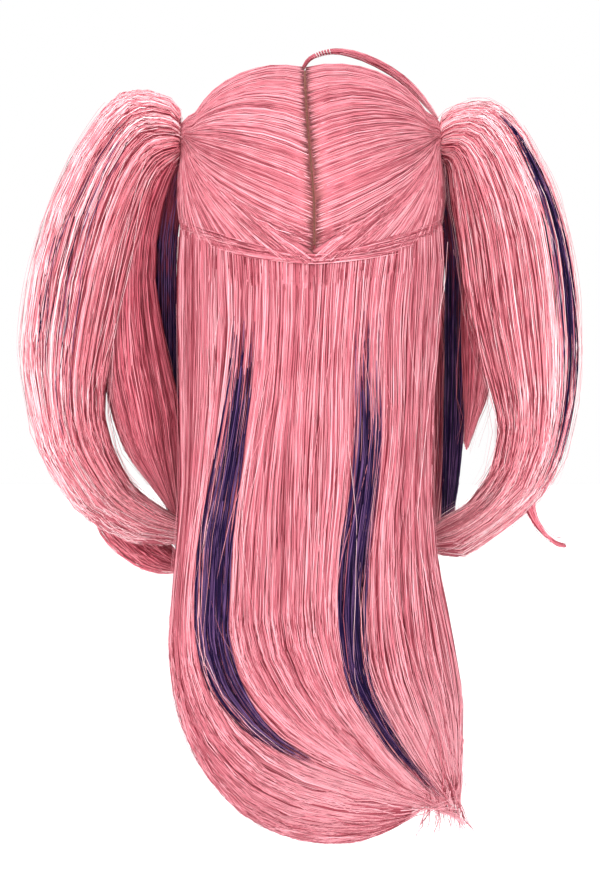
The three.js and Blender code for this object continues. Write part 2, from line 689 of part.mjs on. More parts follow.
// Locks that follow a table of points

// The half width of a lock lies level, turned about +Z, and its half thickness square to it
function lockLoft(rows, sides, turnDegrees, side = 1) {
  const turn = THREE.MathUtils.degToRad(turnDegrees);
  const rings = rows.map((row) => {
    const across = new THREE.Vector3(Math.sin(turn) * side, Math.cos(turn), 0);
    const through = new THREE.Vector3(Math.cos(turn) * side, -Math.sin(turn), 0);
    return ovalRing(
      new THREE.Vector3(row.x * side, row.y, row.z),
      across.multiplyScalar(row.halfWidth),
      through.multiplyScalar(row.halfThickness),
      sides,
    );
  });
  return loft(rings);
}

// A lock that lies on the cap below the crown's edge and hangs from there
function hungLock(rows, turnDegrees, side) {
  const lock = lockLoft(rows, SIDE_LOCK_SIDES, turnDegrees, side);
  return cutBy(lock, [capClearance(), crownClearance()]);
}

// The antenna's sections stand square to its arch, which runs from side to side
function antennaLoft() {
  const centreAt = (place) => {
    const row = rowAt(ANTENNA_LOCK, THREE.MathUtils.clamp(place, 0, ANTENNA_LOCK.length - 1));
    return new THREE.Vector3(row.x, row.y, row.z);
  };
  const rings = ANTENNA_LOCK.map((row, place) => {
    const along = centreAt(place + 0.1).sub(centreAt(place - 0.1));
    const rise = new THREE.Vector3(0, 1, 0).cross(along).normalize();
    const across = along.cross(rise).normalize();
    return ovalRing(
      centreAt(place),
      across.multiplyScalar(row.halfThickness),
      rise.multiplyScalar(row.halfWidth),
      ANTENNA_SIDES,
    );
  });
  return loft(rings);
}

// Back fall

// A point of the fall at a level: share runs from the right edge (-1) to the left edge (1), sunk inwards by a depth
function fallPoint(row, share, depth) {
  const turn = (share * Math.PI) / 2;
  const middleX = (row.left + row.right) / 2;
  const halfWidth = (row.left - row.right) / 2;
  const x = middleX + (halfWidth - depth) * Math.sin(turn);
  const y = row.edge + (row.middle - row.edge - depth) * Math.cos(turn);
  return new THREE.Vector3(x, y, row.level + row.lift * share ** 2);
}

function fallRow(level) {
  const row = rowAt(BACK_FALL, placeOf(BACK_FALL, "level", level));
  return { ...row, level };
}

function fallSurface(x, level) {
  const row = fallRow(level);
  const middleX = (row.left + row.right) / 2;
  const halfWidth = (row.left - row.right) / 2;
  const sine = THREE.MathUtils.clamp((x - middleX) / halfWidth, -1, 1);
  return fallPoint(row, Math.asin(sine) / (Math.PI / 2), 0);
}

function fallSheet() {
  const shares = Array.from({ length: FALL_COLUMNS }, (_, column) => (2 * column) / (FALL_COLUMNS - 1) - 1);
  const rings = BACK_FALL.map((row) => {
    const outer = shares.map((share) => {
      const flat = fallPoint(row, share, 0);
      const lock = Math.cos((2 * Math.PI * (flat.x + row.sweep)) / FALL_LOCK_PITCH);
      const fade = Math.cos((share * Math.PI) / 2);
      return fallPoint(row, share, FALL_LOCK_DEPTH * (1 - lock) * fade);
    });
    const inner = shares.map((share) => fallPoint(row, share, row.thick * (1 - 0.35 * Math.abs(share))));
    return [...outer, ...inner.reverse()];
  });
  return loft(rings);
}

// A pointed lock that leaves the fall and ends below its edge
function fallTip(tip) {
  const start = new THREE.Vector3(tip.fromX, 0, tip.fromZ);
  const end = new THREE.Vector3(tip.toX, 0, tip.toZ);
  const along = end.clone().sub(start).normalize();
  const across = new THREE.Vector3(along.z, 0, -along.x);
  const depthAt = (point) => fallSurface(point.x, Math.max(point.z, TIP_LOWEST)).y - TIP_SINK;
  const rings = Array.from({ length: TIP_STEPS + 1 }, (_, step) => {
    const share = step / TIP_STEPS;
    const centre = start.clone().lerp(end, share);
    const taper = Math.max((1 - share ** 4) * (0.4 + 0.6 * Math.min(3 * share, 1)), 0.12);
    return ovalRing(
      centre.setY(depthAt(centre)),
      across.clone().multiplyScalar(tip.halfWidth * taper),
      new THREE.Vector3(0, tip.halfThickness * taper, 0),
      TIP_SIDES,
    );
  });
  return loft(rings);
}

function backStreak(rows, clearance) {
  const rings = rows.map((row) => {
    const surface = fallSurface(row.x, row.level);
    const reach = 2;
    const across = fallSurface(row.x + reach, row.level).sub(fallSurface(row.x - reach, row.level)).normalize();
    const out = new THREE.Vector3(-across.y, across.x, 0);
    const halfThickness = Math.min(BACK_STREAK_HALF_THICKNESS, 1 + row.halfWidth / 3);
    return ovalRing(
      surface.addScaledVector(out, -BACK_STREAK_SINK),
      across.multiplyScalar(row.halfWidth + clearance),
      out.multiplyScalar(halfThickness + clearance),
      STREAK_SIDES,
    );
  });
  return loft(rings);
}

function backFall() {
  const body = fused([fallSheet(), ...FALL_TIPS.map(fallTip)]);
  const beds = Object.values(BACK_STREAKS).map((rows) => backStreak(rows, SEAT_GAP));
  return named("back_fall", cutBy(body, [...beds, capClearance(), crownClearance()]), PINK);
}

// Fringe

function fringe() {
  const columns = FRINGE_LOCKS * FRINGE_COLUMNS_PER_LOCK;
  const sheet = [];
  for (let column = 0; column <= columns; column++) {
    const share = column / columns;
    const degrees = THREE.MathUtils.lerp(FRINGE_FROM, FRINGE_TO, share);
    const azimuth = THREE.MathUtils.degToRad(degrees);
    const inLock = (column % FRINGE_COLUMNS_PER_LOCK) / FRINGE_COLUMNS_PER_LOCK;
    const point = Math.sin(Math.PI * inLock);
    const sideDrop = FRINGE_END_DROP * (2 * share - 1) ** 2;
    const top = polarAtLevel(HAIR, edgeLevel(CROWN_EDGE, degrees) + FRINGE_TUCK);
    const low = THREE.MathUtils.lerp(FRINGE_NOTCH_LEVEL, FRINGE_TIP_LEVEL, point) - sideDrop;
    const bottom = polarAtLevel(HAIR, low);
    const crest = FRINGE_LOCK_DEPTH / (HAIR_HALF_DEPTH - SEAT.halfDepth);
    const side = (row, fullness) => {
      const polar = THREE.MathUtils.lerp(top, bottom, row / FRINGE_ROWS);
      return hairPoint(direction(azimuth, polar), fullness);
    };
    const rows = Array.from({ length: FRINGE_ROWS + 1 }, (_, row) => row);
    const front = rows.map((row) => side(row, FRINGE_FULLNESS + crest * point));
    const behind = rows.map((row) => side(row, -FRINGE_SINK));
    sheet.push([...front, ...behind.reverse()]);
  }
  return cutBy(loft(sheet), [capClearance(), crownClearance()]);
}

// Assembly

const wig = new THREE.Group();
wig.add(named("cap", capShell(), NET));
wig.add(named("part_strip", partStrip(), NET));
for (const side of [1, -1]) {
  const word = side > 0 ? "left" : "right";
  wig.add(named(`crown_${word}`, crownHalf(side), PINK));
  wig.add(tie(side));
  wig.add(named(`side_lock_${word}`, hungLock(SIDE_LOCK, SIDE_LOCK_TURN, side), PINK));
  wig.add(named(`purple_lock_${word}`, hungLock(PURPLE_LOCK, PURPLE_LOCK_TURN, side), PURPLE));
  wig.add(named(`back_streak_${word}`, backStreak(BACK_STREAKS[word], 0), PURPLE));
}
const leftRows = fromNeck(PIGTAIL_LEFT, 1);
const rightRows = fromNeck(PIGTAIL_RIGHT, -1);
const leftLobes = [PIGTAIL_LEFT_INNER, PIGTAIL_LEFT_UNDER];
const rightLobes = [PIGTAIL_RIGHT_INNER];
wig.add(named("pigtail_left", pigtail(leftRows, leftLobes, PIGTAIL_STREAKS.left), PINK));
wig.add(named("pigtail_right", pigtail(rightRows, rightLobes, PIGTAIL_STREAKS.right), PINK));
wig.add(named("pigtail_streak_left", pigtailStreak(leftRows, PIGTAIL_STREAKS.left, 0), PURPLE));
wig.add(named("pigtail_streak_right", pigtailStreak(rightRows, PIGTAIL_STREAKS.right, 0), PURPLE));
wig.add(backFall());
wig.add(named("fringe", fringe(), PINK));
wig.add(named("antenna_lock", antennaLoft(), PINK));

export default wig;
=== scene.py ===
"""A pink costume wig with bunched pigtails: strands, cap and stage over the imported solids."""

import math

import bpy
import numpy as np
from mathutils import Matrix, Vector


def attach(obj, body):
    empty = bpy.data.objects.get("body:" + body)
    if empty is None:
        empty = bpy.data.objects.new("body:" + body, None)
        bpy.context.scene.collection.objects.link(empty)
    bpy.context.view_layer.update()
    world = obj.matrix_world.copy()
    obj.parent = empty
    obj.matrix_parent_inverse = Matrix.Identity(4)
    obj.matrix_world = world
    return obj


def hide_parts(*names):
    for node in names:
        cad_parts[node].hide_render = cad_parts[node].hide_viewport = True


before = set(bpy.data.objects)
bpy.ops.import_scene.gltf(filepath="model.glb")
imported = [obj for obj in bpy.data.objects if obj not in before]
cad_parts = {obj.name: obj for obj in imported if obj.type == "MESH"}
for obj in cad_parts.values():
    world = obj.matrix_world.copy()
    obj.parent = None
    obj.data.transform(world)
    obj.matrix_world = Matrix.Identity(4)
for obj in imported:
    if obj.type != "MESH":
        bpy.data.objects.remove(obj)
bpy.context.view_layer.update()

bl_info = {
    "name": "Costume wig",
    "version": (1, 0, 0),
    "blender": (4, 5, 0),
    "location": "View3D > Sidebar > Wig",
    "description": "Combs a pink pigtail wig over its packed solids",
    "category": "Add Mesh",
}

MM = 0.001
BODY = "root"
SIDES = ((1, "left"), (-1, "right"))

# Head forms in millimetres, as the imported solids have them
CENTRE_LEVEL = -95.0
SQUARENESS = 2.8
NAPE_TAPER = 0.12
CAP_INSIDE = {"half_width": 78.0, "half_depth": 97.0, "rise": 95.0}
CAP_OUTSIDE = {"half_width": 79.8, "half_depth": 98.8, "rise": 96.8}
SEAT = {"half_width": 80.15, "half_depth": 99.15, "rise": 97.15}
HAIR = {"half_width": 91.0, "half_depth": 108.0, "rise": 103.0}

# Edges round the head: azimuth in degrees from the back (0) past the ear (90) to the face (180), and level
CAP_RIM = ((0, -163), (35, -157), (65, -124), (90, -116), (112, -128), (135, -86), (160, -56), (180, -51))
CROWN_EDGE = ((0, -132), (30, -128), (60, -117), (90, -106), (120, -92), (145, -60), (165, -40), (180, -34))

# The part: how far left of the middle it runs at the nape and on top, its strip, and the gap on each side
PART_OFFSET_NAPE = -2.0
PART_OFFSET_TOP = 4.5
PART_STRIP_HALF_WIDTH = 1.2
PART_STRIP_THICKNESS = 0.8
PART_HALF_GAP = 0.6
# How far the dense hair of a pigtail, a lock and the antenna lock lies under the strands
PIGTAIL_SUNK = -1.3
LOCK_SUNK = -0.9
ANTENNA_SUNK = -0.3
# The crown's strands start in three runs: on the front hairline up to the first share, on the part up to the
# second, then round the lower edge, where the first ones cross the middle by some degrees
FRONT_SHARE = 0.12
PART_SHARE = 0.64
CROSS_OVER = 7.0
LAST_ROOT = 146.0
# How far below the hairline the strands and the dense hair under them start
CROWN_DROP = 2.5
CROWN_CORE_DROP = -1.0
# The crown's inside: its fullness over the cap, its share of the neck, and how the dense hair lies between
LINING_FULLNESS = 0.05
LINING_NECK = 0.5
CROWN_CORE_OUTSIDE = 0.82
CROWN_CORE_INSIDE = 0.18
# The level at which the lowest crown strands start, lower than the solid's edge over the ears
HAIRLINE = (
    (0, -129), (15, -127), (35, -122.5), (55, -118), (70, -116), (90, -115), (104, -124), (114, -127),
    (124, -113), (135, -86), (146, -66), (165, -42), (180, -35),
)

# Where the hair of one side is gathered, and the tie hidden in its neck
GATHER = {"azimuth": 83.0, "polar": 66.0, "tilt": 17.0, "fullness": 0.5}
TIE_HEIGHT = 3.7
TIE_RING = 8.95
TIE_CORD = 1.6
# The neck of gathered hair over the tie, left side: x, y and z of its middle, radius, tilt in degrees
NECK = ((85.6, 12, -40.5, 12.8, 12), (88.6, 12, -42, 9.8, -2), (90.5, 12, -43.5, 6.5, -12))
NECK_REACH = 13.2

# Pigtail sections: inner end (x, z), outer end (x, z), how far back the middle lies, and half depth
PIGTAIL_LEFT = (
    (86.5, -47, 87, -38, 12, 5.5),
    (87.5, -52, 91, -35, 12, 8.8),
    (89.5, -56, 88.4, -25.5, 12.5, 13),
    (92, -59, 93.5, -18, 13, 17),
    (95, -62, 102, -13.5, 13.5, 20),
    (99, -66, 119.5, -10.5, 14, 24),
    (103, -72, 134, -17, 15, 26),
    (107, -80, 146, -31.5, 16, 29),
    (111, -92, 162, -57, 17, 31),
    (117, -112, 178, -94, 18, 33),
    (124, -140, 189, -134, 18, 34),
    (131, -172, 195, -176, 17, 33),
    (137, -200, 194.5, -200, 16, 30),
    (140, -222, 191, -219, 15, 27),
    (137.5, -244, 185.5, -248, 15, 24),
    (128.5, -266, 171, -277, 14, 20.5),
    (114, -287, 149, -303, 13, 16.5),
    (93, -297, 114, -318, 12, 12),
    (75, -308, 77, -317, 11, 4),
)
PIGTAIL_LEFT_INNER = (
    (88, -52, 92, -44, 11, 7),
    (92, -64, 105, -54, 10, 12),
    (98, -79, 120, -74, 9, 17),
    (104, -104, 132, -104, 8, 20),
    (106.5, -135, 138, -138, 7, 22),
    (103, -164, 141, -170, 6, 22),
    (97, -196, 141, -202, 5, 20),
    (91.5, -222, 137, -226, 4, 17),
    (89.5, -250, 128, -253, 3, 14),
    (89, -274, 113, -273, 3, 10),
    (89, -292, 101, -288, 3, 6),
    (88, -305, 91, -302, 3, 2.5),
)
PIGTAIL_LEFT_UNDER = (
    (128, -268, 152, -284, 2, 9),
    (116, -292, 141, -312, -1, 9),
    (103, -310, 122, -330, -2, 8),
    (92, -322, 104, -337, -2, 6),
    (87, -331, 90, -337, -2, 2.5),
)
PIGTAIL_RIGHT = (
    (-86, -48, -86, -39, 12, 5.5),
    (-87, -54, -87, -36, 12, 9),
    (-89.5, -58, -88.6, -28.5, 12.5, 13),
    (-92, -60, -97, -22, 13, 17),
    (-93, -62, -111, -18.5, 14, 21),
    (-94, -67, -124, -20, 15, 24),
    (-94.5, -76, -140, -33, 16, 27),
    (-96, -90, -158, -65, 17, 30),
    (-99, -106, -169, -93, 17, 32),
    (-102, -133, -177, -127, 16, 33),
    (-106, -162, -180.8, -164, 16, 32),
    (-114, -192, -181.2, -198, 15, 29),
    (-124, -222, -176.5, -233, 15, 25),
    (-127, -246, -167, -266, 15, 21),
    (-119, -277, -152, -290, 14, 18),
    (-101, -294, -126, -311, 13, 15),
    (-88, -300, -101, -327, 12, 12),
    (-74, -313, -76, -322, 11, 4),
)
PIGTAIL_RIGHT_INNER = (
    (-88, -52, -94, -46, 10, 7),
    (-94, -72, -112, -66, 8, 12),
    (-100, -100, -130, -98, 5, 15),
    (-103, -140, -130, -143, 2, 15),
    (-103, -176, -126, -181, 0, 13),
    (-104, -208, -121, -214, -1, 9),
    (-105, -232, -112, -238, 0, 5),
    (-104, -250, -106, -254, 0, 2),
)
PIGTAIL_RIGHT_STRAY = (
    (-140, -262, -158, -270, 18, 5),
    (-142, -286, -150.5, -289.5, 18, 3.4),
    (-151.5, -304.5, -156, -306, 16, 1.8),
    (-163, -315, -165.5, -317, 14, 1.0),
    (-172.3, -318.4, -172.9, -318.9, 12, 0.4),
)
BUNDLE_FLUTES = {"count": 6, "depth": 0.06, "drift": 0.25}
LOBE_FLUTES = {"count": 3, "depth": 0.06, "drift": 0.4}

# Purple streak of each pigtail: degrees round from the outer end to the back, first and last row, half width
PIGTAIL_STREAKS = {
    "left": {"round": 74, "from": 6.0, "to": 15.0, "half_width": 15.0, "count": 16},
    "right": {"round": 40, "from": 5.2, "to": 14.2, "half_width": 10.5, "count": 72},
}

# The back fall: level at its middle, left and right edge, middle and edge depth, thickness
BACK_FALL = (
    (-82, 86, -86, 101, 8, 12),
    (-104, 90, -90, 104, 10, 12),
    (-126, 90.5, -90, 106, 12, 12),
    (-150, 90, -89, 108, 13, 12),
    (-172, 90.5, -88, 109, 16, 11),
    (-205, 89, -84.5, 109, 24, 11),
    (-245, 88, -82.5, 107, 32, 12),
    (-286, 88, -81, 105, 38, 13),
    (-325, 91, -84.5, 105, 42, 14),
    (-352, 93.5, -90, 106, 45, 15),
    (-384, 95.5, -96, 107, 48, 16),
    (-417, 92, -101, 107, 52, 16),
    (-443, 84.5, -101.5, 105, 56, 15),
    (-469, 71, -100.5, 101, 60, 14),
    (-489, 54, -99, 96, 65, 12),
    (-504, 32, -98, 90, 72, 9),
    (-513, 5, -97, 86, 79, 5),
)
# Lines that the fall's strands follow, from the left edge to the right one: x and level from the root down
FALL_LINES = (
    (
        (88, -100), (90, -116), (90.5, -150), (89, -205), (88, -245), (88, -286), (91, -325), (93.5, -352),
        (95.5, -384), (92, -417), (84.5, -443), (71, -469), (54, -489), (32, -504), (5, -512), (-22, -513),
        (-40, -509), (-56, -502), (-70, -493),
    ),
    (
        (45, -114), (43, -160), (46, -208), (54, -260), (62.5, -312), (65, -351), (65, -377), (58.5, -403),
        (48, -421), (34, -437), (14, -452), (-10, -463), (-38, -473), (-77, -488),
    ),
    (
        (-1, -119), (1, -175), (5, -247), (8, -325), (9, -366), (2, -394), (-12, -422), (-32, -447),
        (-54, -470), (-84, -489),
    ),
    (
        (-46, -114), (-40, -160), (-38, -201), (-38, -240), (-35, -280), (-30, -322), (-28, -365),
        (-33, -403), (-46, -430), (-60, -452), (-75, -471), (-91, -489),
    ),
    (
        (-88, -100), (-90, -116), (-89, -150), (-84.5, -205), (-82.5, -245), (-81, -286), (-84.5, -325),
        (-90, -352), (-96, -384), (-101, -417), (-101.5, -443), (-100.5, -465), (-100, -478), (-99, -489),
    ),
)

# Points on each of those lines, columns across the fall, and a level below which it is clear of the cap
FALL_LINE_POINTS = 160
FALL_COLUMNS = 65
UNDER_THE_CAP = -175.0
# How far the fall's roots are tucked in under the crown
FALL_TUCK = 6.0
# The fall's dense hair: how deep its outside and its inside lie, and how far each clears the cap
FALL_CORE_OUTSIDE = (0.13, 1.4)
FALL_CORE_INSIDE = (0.9, 0.4)

# Frayed ends at the right of the fall: left edge, right edge and level
FRAYED_ENDS = ((-62, -98, -462), (-72, -98, -478), (-75, -99, -488), (-71, -106, -501), (-64, -113, -512))

# Purple streaks of the back fall: middle, level and half width
BACK_STREAKS = {
    "left": (
        (43, -158, 8), (46, -208, 8), (54, -260, 9.4), (62.5, -312, 11), (65, -351, 11.8), (65, -377, 11.6),
        (58.5, -403, 11), (48, -421, 9), (34, -437, 6.5), (17, -449, 4), (-2, -459, 1.4),
    ),
    "right": (
        (-37, -158, 8), (-36.5, -204, 8), (-37, -240, 8.6), (-34, -280, 8.8), (-28, -322, 9.6),
        (-26, -365, 9), (-30.5, -403, 8), (-43.5, -430, 6), (-56, -450, 5), (-71, -468, 3.4),
        (-86, -484, 1.4),
    ),
}
# How far a streak stands out along its middle, and how far its top is sunk into the fall
STREAK_RISE = 0.9
STREAK_SUNK_TOP = 0.7

# Side locks of the left: x, y, z, half width and half thickness
PURPLE_LOCK = (
    (85, 4, -50, 5, 4), (89.5, -2, -64, 8, 6), (95, -9, -84, 9, 7.5), (99, -14, -108, 9, 8),
    (100, -18, -130, 9, 8), (100, -24, -165, 9, 8), (99, -28, -215, 9, 7), (97, -29, -262, 8, 6),
    (94, -28, -300, 5.5, 4), (91, -27, -324, 1.2, 1),
)
SIDE_LOCK = (
    (71.5, -46, -78, 6, 2.2), (73, -47, -94, 9, 3.4), (78, -50, -120, 11, 4.2), (86, -57, -165, 12, 5.5),
    (88, -61, -220, 12, 6), (87, -63, -272, 10, 5.4), (84, -62, -315, 6.5, 4), (81, -60, -345, 1.2, 1),
)
# How far each lock's broad face is turned from the side to the front, in degrees
SIDE_LOCK_TURN = 52.0
PURPLE_LOCK_TURN = 20.0

# The fringe: first and last azimuth, the level of its tips, how much lower they end at the sides, its locks
FRINGE_FROM = 124.0
FRINGE_TO = 236.0
FRINGE_TIP_LEVEL = -96.0
FRINGE_END_DROP = 14.0
FRINGE_LOCKS = 16
# Its dense hair: how deep its outside and its inside lie, and where it ends
FRINGE_CORE_OUTSIDE = 0.12
FRINGE_CORE_INSIDE = 0.32
FRINGE_CORE_END = 0.86

# The antenna lock: x, y, z, half width and half thickness
ANTENNA_LOCK = (
    (6.2, -3, 4.5, 0.9, 0.9), (3, -3, 10.4, 1.2, 1.1), (-1.5, -3, 14, 1.4, 1.3), (-9, -2, 16.6, 1.6, 1.4),
    (-19, -1, 17.4, 2.0, 1.5), (-33, 1, 14.2, 2.6, 1.7), (-49, 3, 6.8, 2.8, 1.8), (-64, 5, -3.6, 2.6, 1.7),
    (-76.5, 6, -16.5, 2.2, 1.5), (-86, 7, -29.5, 0.8, 0.7),
)
# The thread wound round it: first and last row, turns, points in a turn, radius
THREAD_FROM = 2.3
THREAD_TO = 3.6
THREAD_TURNS = 6
THREAD_TURN_POINTS = 16
THREAD_RADIUS = 0.28

# Weft rows sewn inside the cap: how many, the radius of a row's seam, and how far it stands into the cap
WEFT_ROWS = 9
WEFT_RADIUS = 0.7
WEFT_LIFT = -0.5
# The rim band: its place from the cap's top to its rim, its radius, and how far it stands into the cap
RIM_BAND_PLACE = 0.97
RIM_BAND_RADIUS = 1.3
RIM_BAND_LIFT = -0.9

# The camera stands behind the wig, level, as far off as a product photographer would
CAMERA_DISTANCE = 2.8
CAMERA_HEIGHT = -0.247
CAMERA_SIDE = 0.0075
FRAME_HEIGHT = 0.5984
SENSOR = 36.0
FLOOR_LEVEL = -0.72
FLOOR_HALF = 40.0
# Soft lights: name, place, size and share of the key's power; all look at one place
LIGHTS = (
    ("key light", (-0.8, 2.3, 1.2), 1.2, 1.0),
    ("fill light", (1.3, 2.0, 0.5), 1.4, 0.6),
    ("top light", (0.0, 0.2, 1.8), 1.4, 0.7),
    ("low light", (0.2, 1.5, -0.62), 0.9, 0.6),
)
LIGHT_AIM = (0, 0, -0.2)


# Tables

def smooth_rows(rows, places):
    """Values of a table at places counted in rows, on a smooth curve through the rows."""
    table = np.asarray(rows, float)
    places = np.asarray(places, float)
    last = len(table) - 1
    row = np.clip(np.floor(places).astype(int), 0, last - 1)
    share = (places - row)[..., None]
    before, start, end, after = (table[np.clip(row + step, 0, last)] for step in (-1, 0, 1, 2))
    start_slope = (end - before) / 2
    end_slope = (after - start) / 2
    square = share**2
    cube = share**3
    return (
        (2 * cube - 3 * square + 1) * start
        + (cube - 2 * square + share) * start_slope
        + (3 * square - 2 * cube) * end
        + (cube - square) * end_slope
    )


def rows_at_key(rows, key):
    """Rows of a table whose first column rises or falls, at values of that column."""
    column = np.asarray(rows, float)[:, 0]
    places = np.arange(len(column), dtype=float)
    order = np.argsort(column)
    return smooth_rows(rows, np.interp(key, column[order], places[order]))


def even_line(points, count):
    """Evenly spaced points along a smooth line through given points."""
    dense = smooth_rows(points, np.linspace(0, len(points) - 1, 400))
    reach = np.concatenate([[0], np.cumsum(np.linalg.norm(np.diff(dense, axis=0), axis=1))])
    wanted = np.linspace(0, reach[-1], count)
    return np.stack([np.interp(wanted, reach, dense[:, axis]) for axis in range(dense.shape[1])], axis=-1)


def smoothstep(low, high, value):
    """0 below low, 1 above high, with a soft rise between."""
    share = np.clip((np.asarray(value, float) - low) / (high - low), 0, 1)
    return share * share * (3 - 2 * share)


def unit(vectors):
    """Vectors made one long."""
    return vectors / np.linalg.norm(vectors, axis=-1, keepdims=True)


# Head forms

def direction(azimuth, polar):
    """A direction from the middle of the head; azimuth 0 is the back, polar 0 the top, in radians."""
    azimuth, polar = np.broadcast_arrays(azimuth, polar)
    return np.stack(
        [np.sin(polar) * np.sin(azimuth), np.sin(polar) * np.cos(azimuth), np.cos(polar)], axis=-1
    )


def dome_point(dome, way):
    """The point of a head form that lies in a direction, in millimetres."""
    polar = np.arccos(np.clip(way[..., 2], -1, 1))
    azimuth = np.arctan2(way[..., 0], way[..., 1])
    power = 2 / SQUARENESS
    below = np.maximum(polar - math.pi / 2, 0)
    level = np.where(below > 0, -below, np.abs(np.cos(polar)) ** power)
    spread = np.where(below > 0, 1 - NAPE_TAPER * below**2, np.abs(np.sin(polar)) ** power)
    return np.stack(
        [
            dome["half_width"] * spread * np.sin(azimuth),
            dome["half_depth"] * spread * np.cos(azimuth),
            CENTRE_LEVEL + dome["rise"] * level,
        ],
        axis=-1,
    )


def polar_at_level(level, dome=None):
    """The polar angle at which a head form, the hair's by default, reaches a level."""
    height = (np.asarray(level, float) - CENTRE_LEVEL) / (dome or HAIR)["rise"]
    upper = np.arccos(np.clip(height, 0, 1) ** (SQUARENESS / 2))
    return np.where(height > 0, upper, math.pi / 2 - height)


def hair_point(way, fullness):
    """A point between the seat on the cap (0) and the full hair form (1)."""
    share = np.asarray(fullness, float)[..., None]
    return dome_point(SEAT, way) * (1 - share) + dome_point(HAIR, way) * share


def ray_point(dome, way):
    """The point where a ray from the middle of the head meets a head form."""
    across = np.hypot(way[..., 0] / dome["half_width"], way[..., 1] / dome["half_depth"])
    height = way[..., 2] / dome["rise"]
    upper = (across**SQUARENESS + np.abs(height) ** SQUARENESS) ** (-1 / SQUARENESS)
    bend = NAPE_TAPER * height**2
    lower = 2 / (across + np.sqrt(across**2 + 4 * bend))
    return way * np.where(height > 0, upper, lower)[..., None] + np.array([0, 0, CENTRE_LEVEL])


def edge_level(edge, degrees):
    """The level of an edge round the head at azimuths in degrees, alike on both sides."""
    folded = np.abs((np.asarray(degrees, float) + 180) % 360 - 180)
    return rows_at_key(edge, folded)[..., 1]


def part_direction(turn, offset):
    """Directions along the part: turn 0 is level behind, a quarter turn the top, a half turn the front."""
    slant = np.where(turn < math.pi / 2, (1 - np.sin(np.maximum(turn, 0))) ** 2, 0)
    middle = PART_OFFSET_TOP * (1 - slant) + PART_OFFSET_NAPE * slant
    reach = (middle + offset) / HAIR["half_width"]
    x = reach.copy()
    for _ in range(6):
        x = np.where(turn > 0, reach * np.hypot(x, np.cos(turn)) ** (1 - 2 / SQUARENESS), reach)
    return unit(np.stack([x, np.cos(turn), np.sin(turn)], axis=-1))


def part_ends():
    """The turns at which the part ends behind and in front."""
    back = math.pi / 2 - polar_at_level(edge_level(CROWN_EDGE, 0.0))
    front = math.pi / 2 + polar_at_level(edge_level(CROWN_EDGE, 180.0))
    return float(back), float(front)


def gather(side):
    """Where the hair of one side is gathered: direction, point, and the ways out, up and back."""
    way = direction(math.radians(GATHER["azimuth"]) * side, math.radians(GATHER["polar"]))
    tilt = math.radians(GATHER["tilt"])
    return {
        "way": way,
        "point": hair_point(way, GATHER["fullness"]),
        "out": np.array([side * math.cos(tilt), 0, math.sin(tilt)]),
        "up": np.array([-side * math.sin(tilt), 0, math.cos(tilt)]),
        "back": np.array([0.0, 1.0, 0.0]),
    }


# Guide sheets: grids of points, rows along the strands and columns across them, in millimetres

def gathered_sheet(side, starts, bends, fullness, neck_share=1.0):
    """Hair combed over the head from starting directions into the neck of one pigtail."""
    base = gather(side)
    centre = np.array([0, 0, CENTRE_LEVEL])
    starts = unit(dome_point(HAIR, starts) - centre)
    goal = unit(dome_point(HAIR, base["way"]) - centre)
    angle = np.arccos(np.clip(starts @ goal, -1, 1))
    middle = unit((starts + goal) / 2 + bends * angle[:, None])
    reach = 1 - NECK_REACH / HAIR["half_width"] / angle
    flow = np.linspace(0, 1, fullness.shape[0])[:, None]
    share = (flow * reach)[..., None]
    way = unit((1 - share) ** 2 * starts + 2 * share * (1 - share) * middle + share**2 * goal)
    laid = ray_point(SEAT, way) * (1 - fullness[..., None]) + ray_point(HAIR, way) * fullness[..., None]
    towards = laid[-1] - base["point"]
    turn = np.arctan2(towards @ base["up"], towards @ base["back"])[:, None]
    rings = []
    for x, y, z, radius, tilt in NECK:
        lean = math.radians(tilt)
        up = np.array([-side * math.sin(lean), 0, math.cos(lean)])
        ring = np.cos(turn) * base["back"] + np.sin(turn) * up
        rings.append(np.array([side * x, y, z]) + ring * radius * neck_share)
    return np.concatenate([laid, np.array(rings)])


def crown_starts(side, columns, drop):
    """Where the crown's strands start, all round its fan, and how they bend away."""
    back, front = part_ends()
    share = crown_shares(columns)
    on_part = (share >= FRONT_SHARE) & (share <= PART_SHARE)
    run = np.clip((share - FRONT_SHARE) / (PART_SHARE - FRONT_SHARE), 0, 1)
    part = part_direction(front + (back - front) * run, np.full(columns, PART_HALF_GAP * side))
    degrees = edge_degrees(share)
    lip = direction(np.radians(degrees) * side, polar_at_level(edge_level(HAIRLINE, degrees) - drop))
    starts = np.where(on_part[:, None], part, lip)
    along = np.stack([np.full(columns, 1.0 * side), np.zeros(columns), np.full(columns, -0.2)], axis=-1)
    strength = np.where(on_part, 0.07 * smoothstep(0, 0.12, run) + 0.05 * smoothstep(0.3, 1, run), 0)
    return starts, along * strength[:, None]


def crown_shares(columns):
    """Places round the crown's fan, with one place at each end of the part's run."""
    share = np.linspace(0, 1, columns)
    for end in (FRONT_SHARE, PART_SHARE):
        share[np.argmin(np.abs(share - end))] = end
    return share


def edge_degrees(share):
    """Azimuth of a strand's start on the hairline: first over the face, then from behind past the ear."""
    ahead = LAST_ROOT + (179 - LAST_ROOT) * np.clip(share / FRONT_SHARE, 0, 1)
    behind = -CROSS_OVER + (CROSS_OVER + LAST_ROOT) * np.clip((share - PART_SHARE) / (1 - PART_SHARE), 0, 1)
    return np.where(share < FRONT_SHARE, ahead, behind)


